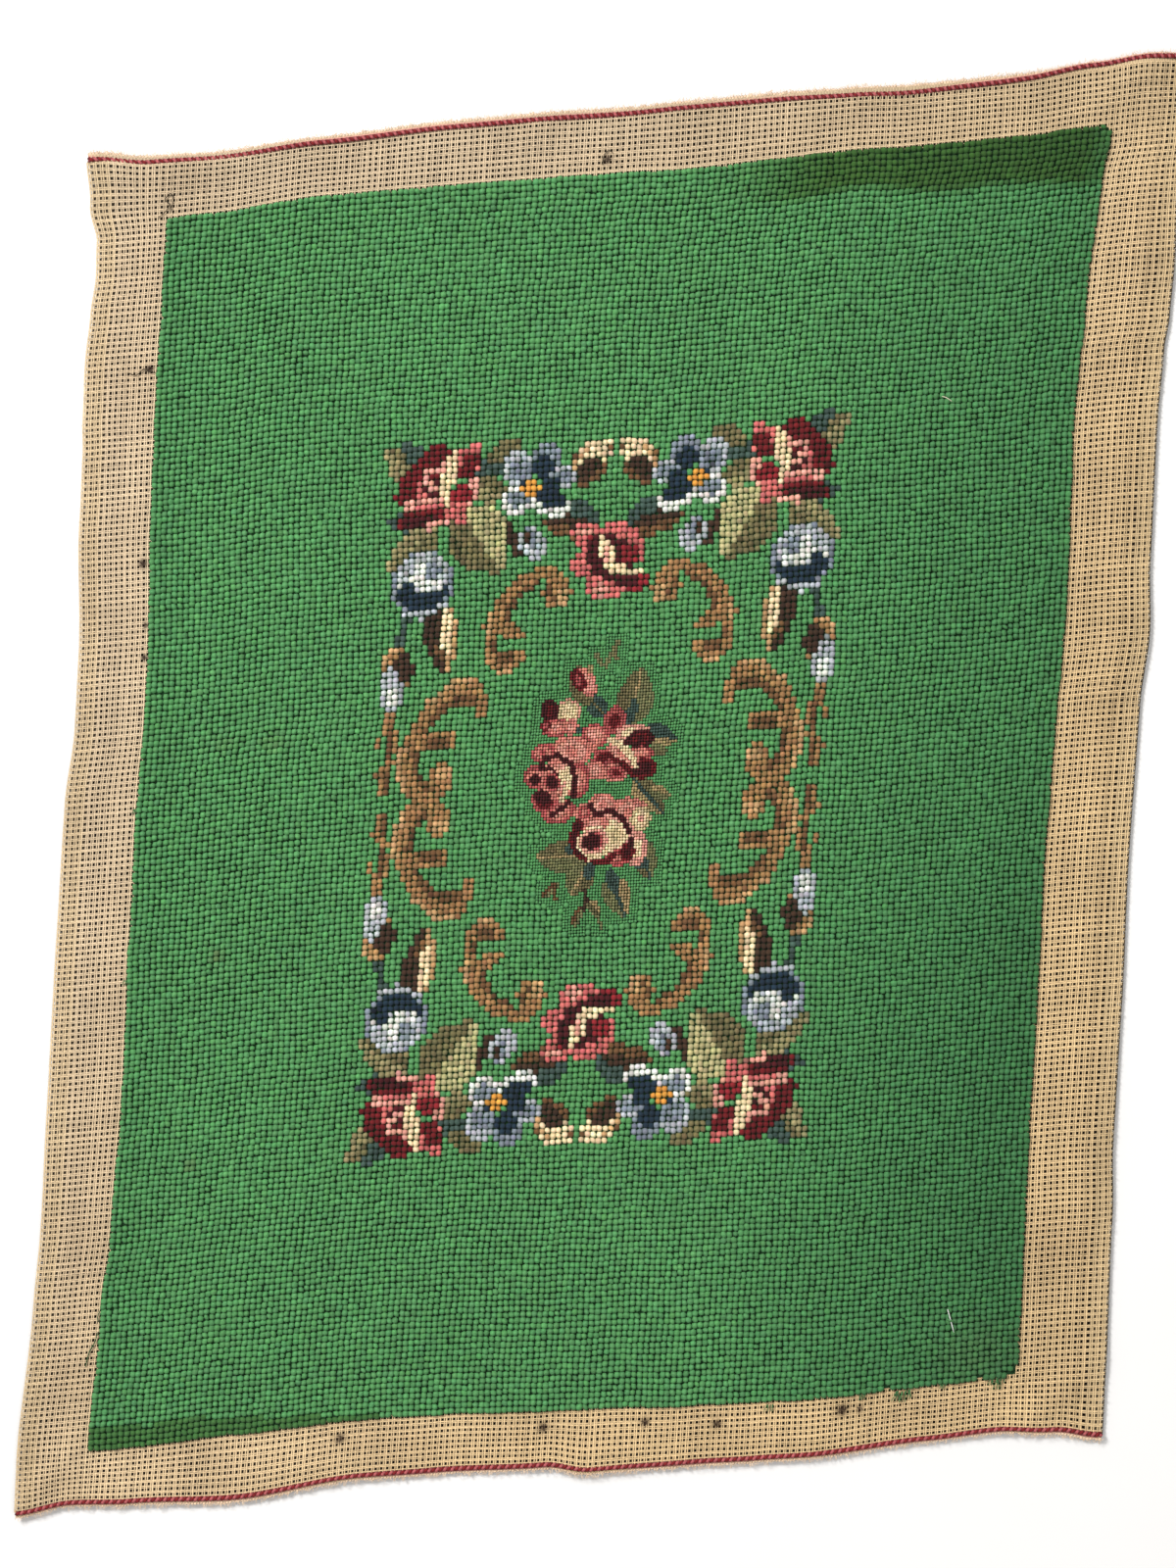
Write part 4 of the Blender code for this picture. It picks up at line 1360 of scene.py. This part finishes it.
# %% Loose threads
# yarn, girth (millimetres), then points: column, row, height above the cloth (millimetres)
SCRAPS = (
    ("soil", 0.22, ((-1.6, -0.2, 0.2), (-0.4, -1, 0.5), (0.3, -2.3, 0.3), (-0.5, -3.2, 0.4),
                    (0.4, -4.2, 0.5), (0.9, -3, 0.3), (0.5, -1.2, 0.2))),
    ("soil", 0.20, ((-5, 25.8, 0.2), (-3.6, 26.3, 0.4), (-2.4, 25.4, 0.5), (-1.2, 25.9, 0.3),
                    (-0.3, 26.2, 0.2))),
    ("soil", 0.20, ((73.6, -1.6, 0.1), (73.8, -3.2, 0.3), (74.6, -4, 0.4), (75.3, -3.4, 0.2))),
    ("forest", 0.26, ((-0.2, 188.6, 0.5), (-0.7, 190.5, 0.7), (-1.5, 192, 0.4), (-1.9, 194.4, 0.3))),
    ("forest", 0.22, ((0, 184.6, 0.6), (-0.5, 186, 0.5), (-0.3, 187, 0.2))),
    ("pearl", 0.20, ((136.4, 42.6, 1.6), (137.2, 42.9, 1.8), (138.2, 43.6, 1.7))),
)
SCRAP_SHADES = {
    "soil": light((62, 52, 34)),
    "forest": light((34, 76, 38)),
    "pearl": light((214, 206, 180)),
}


def smooth_route(points, steps):
    """Catmull-Rom curve through the points of a loose thread."""
    p = np.array([points[0], *points, points[-1]], dtype=float)
    t = np.linspace(0.0, 1.0, steps, endpoint=False)[:, None]
    parts = []
    for a, b, c, d in zip(p, p[1:], p[2:], p[3:]):
        parts.append(0.5 * (2 * b + (c - a) * t + (2 * a - 5 * b + 4 * c - d) * t ** 2
                            + (3 * b - a - 3 * c + d) * t ** 3))
    return np.concatenate(parts + [p[-1:]])


loose = []
for yarn, girth, points in SCRAPS:
    route = smooth_route(points, 6)
    level = canvas_height(route[:, 0], route[:, 1]) + route[:, 2] * 1e-3
    ends = np.sin(np.linspace(0.15, math.pi - 0.15, len(route))) ** 0.3
    loose.append(tube(route[:, 0], route[:, 1], level, girth * 1e-3 * ends, 6, SCRAP_SHADES[yarn]))

# %% Tufts on the lower edge
# column, row, length in meshes
TUFTS = ((117.5, 210.3, 1.3), (133.5, 209.8, 1), (139.5, 210, 1.9), (140.5, 210.2, 2.1),
         (141.3, 210, 1.6), (147, 209.6, 0.9), (155.5, 209.4, 1.5), (156.5, 209.7, 2.2),
         (157.3, 209.3, 1.4), (-0.2, 130, 0.8), (-0.2, 101, 0.7))
TUFT_STRANDS = 5
for column, row, length in TUFTS:
    for strand in range(TUFT_STRANDS):
        lean = RANDOM.normal(0.0, 0.35)
        start = np.array((column + RANDOM.normal(0.0, 0.25), row - 0.8, 0.9))
        end = start + np.array((lean, length, -0.5))
        route = smooth_route((start, 0.5 * (start + end) + (0.1 * lean, 0.0, 0.15), end), 4)
        level = canvas_height(route[:, 0], route[:, 1]) + route[:, 2] * 1e-3
        girth = 0.24e-3 * np.linspace(1.0, 0.45, len(route))
        shade = YARNS["green"] * RANDOM.uniform(0.45, 0.8)
        loose.append(tube(route[:, 0], route[:, 1], level, girth, 5, shade))

# %% The stitch over the pin
PIN_COLUMN = 147.8
PIN_ROW = 198.2
PIN_REACH = 0.62
pin_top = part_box("pin")[1][2]
across_pin = np.linspace(-PIN_REACH, PIN_REACH, 7)
arch = pin_top + 0.25e-3 - 1.6e-3 * (across_pin / PIN_REACH) ** 2
loose.append(tube(PIN_COLUMN + across_pin, PIN_ROW + 0.45 * across_pin, arch, 0.42e-3, 6,
                  0.8 * YARNS["green"]))
scraps = cloth_piece("loose_threads", PETIT_WOOL, loose)


# %% Fuzz along the selvedges and the cut sides
def fuzz(column, row, heading, shade, length):
    """Fine hairs at places; heading is the mean direction in meshes (across, down)."""
    count = len(column)
    reach = length * RANDOM.uniform(0.4, 1.0, (count, 1))
    aim = np.array(heading) + RANDOM.normal(0.0, 0.8, (count, 2))
    aim = aim / np.linalg.norm(aim, axis=1, keepdims=True) * reach
    side = np.stack([-aim[:, 1], aim[:, 0]], axis=-1) / np.maximum(reach, 0.1) * 0.035
    root = np.stack([column, row], axis=-1)
    bend = root + 0.5 * aim + side * RANDOM.normal(0.0, 3.0, (count, 1))
    flat = np.stack([root - side, root + side, bend + side, bend - side, root + aim], axis=1)
    level = canvas_height(column, row)[:, None] - 0.3e-3
    rise = RANDOM.uniform(-0.4e-3, 0.5e-3, (count, 1)) * np.array((0.0, 0.0, 0.6, 0.6, 1.0))
    points = lie(flat[..., 0], flat[..., 1], np.maximum(level + rise, 0.1e-3))
    hair = np.array(((0, 1, 2), (0, 2, 3), (3, 2, 4)))
    colour = np.repeat(shade * vary(0.1, count, 1), 5, axis=0)
    return points, copies(hair, 5, count), flat, colour


SELVEDGE_HAIRS = 1500
SIDE_HAIRS = 500
RUST_HAIRS = 44
SIDE_HAIR_SHADE = light((196, 186, 168))
hairs = []
for edge, inward, _, _ in EDGES:
    column = RANDOM.uniform(LEFT, RIGHT, SELVEDGE_HAIRS)
    row = edge + inward * RANDOM.uniform(0.0, 0.8, SELVEDGE_HAIRS)
    hairs.append(fuzz(column, row, (0.0, -inward), LIP_SHADE, 0.9))
for edge, outward in ((LEFT, -1.0), (RIGHT, 1.0)):
    row = RANDOM.uniform(TOP, BOTTOM, SIDE_HAIRS)
    column = edge - outward * RANDOM.uniform(0.0, 0.4, SIDE_HAIRS)
    hairs.append(fuzz(column, row, (outward, 0.0), SIDE_HAIR_SHADE, 0.7))
for column, row, radius, strength, rusty in STAINS:
    if rusty:
        near = (column, row) + RANDOM.normal(0.0, 0.25 * radius, (RUST_HAIRS, 2))
        hairs.append(fuzz(near[:, 0], near[:, 1], (0.0, 0.0), RUST_SHADE, 1.1 * radius))
fluff = cloth_piece("edge_fuzz", COTTON, hairs, smooth=False)


# %% The pin's steel
def make_steel():
    """Bright drawn wire, a little dulled along its length."""
    made, tree, shader = new_finish("pin_steel")
    shader.inputs["Metallic"].default_value = 1.0
    clouds = add_node(tree, "ShaderNodeGroup", node_tree=UNEVENNESS, Size=900.0, Strength=0.8)
    tint = add_node(tree, "ShaderNodeVectorMath", operation="SCALE")
    tint.inputs[0].default_value = (0.95, 0.94, 0.91)
    rough = add_node(tree, "ShaderNodeMath", operation="MULTIPLY")
    rough.inputs[1].default_value = 0.42
    wire(tree, (clouds, "Shade", tint, "Scale"), (tint, "Vector", shader, "Base Color"),
         (clouds, "Shade", rough, 0), (rough, "Value", shader, "Roughness"))
    return made


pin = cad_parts["pin"]
pin.material_slots[0].material = make_steel()

# %% [markdown]
# ## The table, the light and the camera
# The panel is seen from straight above on a pale table; a dark sheet under it is painted
# shade for the open holes. One strong lamp stands to the upper left, so every stitch shows
# its slant. A weak, wide one opposite it and an even sky fill the shadows.

# %% Table
TABLE_DROP = 0.0004
UNDERLAY_DROP = 0.0002
UNDERLAY_INSET = 1.5


def stage_sheet(name, points, faces, finish):
    """A sheet that belongs to the setting, not to the panel."""
    mesh = bpy.data.meshes.new(name)
    mesh.from_pydata(points, [], faces)
    mesh.materials.append(finish)
    put_in_scene(name, mesh)


def make_table():
    """A pale table top, wider than the view."""
    made, tree, shader = new_finish("pale_table")
    shader.inputs["Roughness"].default_value = 0.7
    clouds = add_node(tree, "ShaderNodeGroup", node_tree=UNEVENNESS, Strength=0.03)
    tint = add_node(tree, "ShaderNodeVectorMath", operation="SCALE")
    tint.inputs[0].default_value = (0.80, 0.79, 0.78)
    wire(tree, (clouds, "Shade", tint, "Scale"), (tint, "Vector", shader, "Base Color"))
    far = 4.0
    corners = [(x, y, -TABLE_DROP) for x, y in ((-far, -far), (far, -far), (far, far), (-far, far))]
    stage_sheet("table_top", corners, [(0, 1, 2, 3)], made)


make_table()


def make_hole_shade():
    """A dark sheet just inside the panel's outline: painted shade that makes the open holes look
    deep.
    """
    made, _, shader = new_finish("painted_hole_shade")
    shader.inputs["Base Color"].default_value = (0.016, 0.010, 0.006, 1.0)
    shader.inputs["Roughness"].default_value = 0.95
    columns = np.linspace(LEFT + UNDERLAY_INSET, RIGHT - UNDERLAY_INSET, 60)
    rows = np.linspace(TOP + UNDERLAY_INSET, BOTTOM - UNDERLAY_INSET, 60)
    points, faces, _, _ = grid(columns, rows, lambda column, row: -UNDERLAY_DROP, PAINTED_GAP_SHADE)
    stage_sheet("underlay", points, faces, made)


make_hole_shade()


# %% Light
def lamp(name, place, power, size):
    """A square soft lamp pointed at the middle of the panel."""
    data = bpy.data.lights.new(name, "AREA")
    data.energy = power
    data.size = size
    made = put_in_scene(name, data)
    made.location = place
    made.rotation_euler = Vector(place).to_track_quat("Z", "Y").to_euler()


# place (metres), power (watts), size (metres)
lamp("key_lamp", (-1.5, 1.4, 1.9), 92.0, 0.7)
lamp("fill_lamp", (0.9, -0.8, 2.0), 10.0, 1.6)
world = bpy.data.worlds.new("soft_sky")
world.use_nodes = True
world.node_tree.nodes["Background"].inputs["Color"].default_value = (1.0, 0.99, 0.97, 1.0)
world.node_tree.nodes["Background"].inputs["Strength"].default_value = 0.5
bpy.context.scene.world = world
bpy.context.scene.view_settings.view_transform = "Standard"

# %% Camera
VIEW_COLUMN = 78.84
VIEW_ROW = 102.87
VIEW_HEIGHT = 0.676
CAMERA_DISTANCE = 1.6


def make_camera():
    """Looks straight down at one mesh of the undrawn grid."""
    across = VIEW_COLUMN * MESH_ACROSS
    down = VIEW_ROW * MESH_DOWN
    x = across * math.cos(ROW_CLIMB) - down * math.sin(COLUMN_LEAN) + SHIFT[0]
    y = across * math.sin(ROW_CLIMB) - down * math.cos(COLUMN_LEAN) + SHIFT[1]
    data = bpy.data.cameras.new("camera")
    data.sensor_width = 36.0
    data.lens = 36.0 * CAMERA_DISTANCE / VIEW_HEIGHT
    made = put_in_scene("camera", data)
    made.location = (x, y, CAMERA_DISTANCE)
    bpy.context.scene.camera = made
    return made


print("camera:", [round(v, 3) for v in make_camera().location])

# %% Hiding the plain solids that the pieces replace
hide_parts("canvas")
for piece in wool_pieces:
    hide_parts("wool_front")
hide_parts("wool_back")
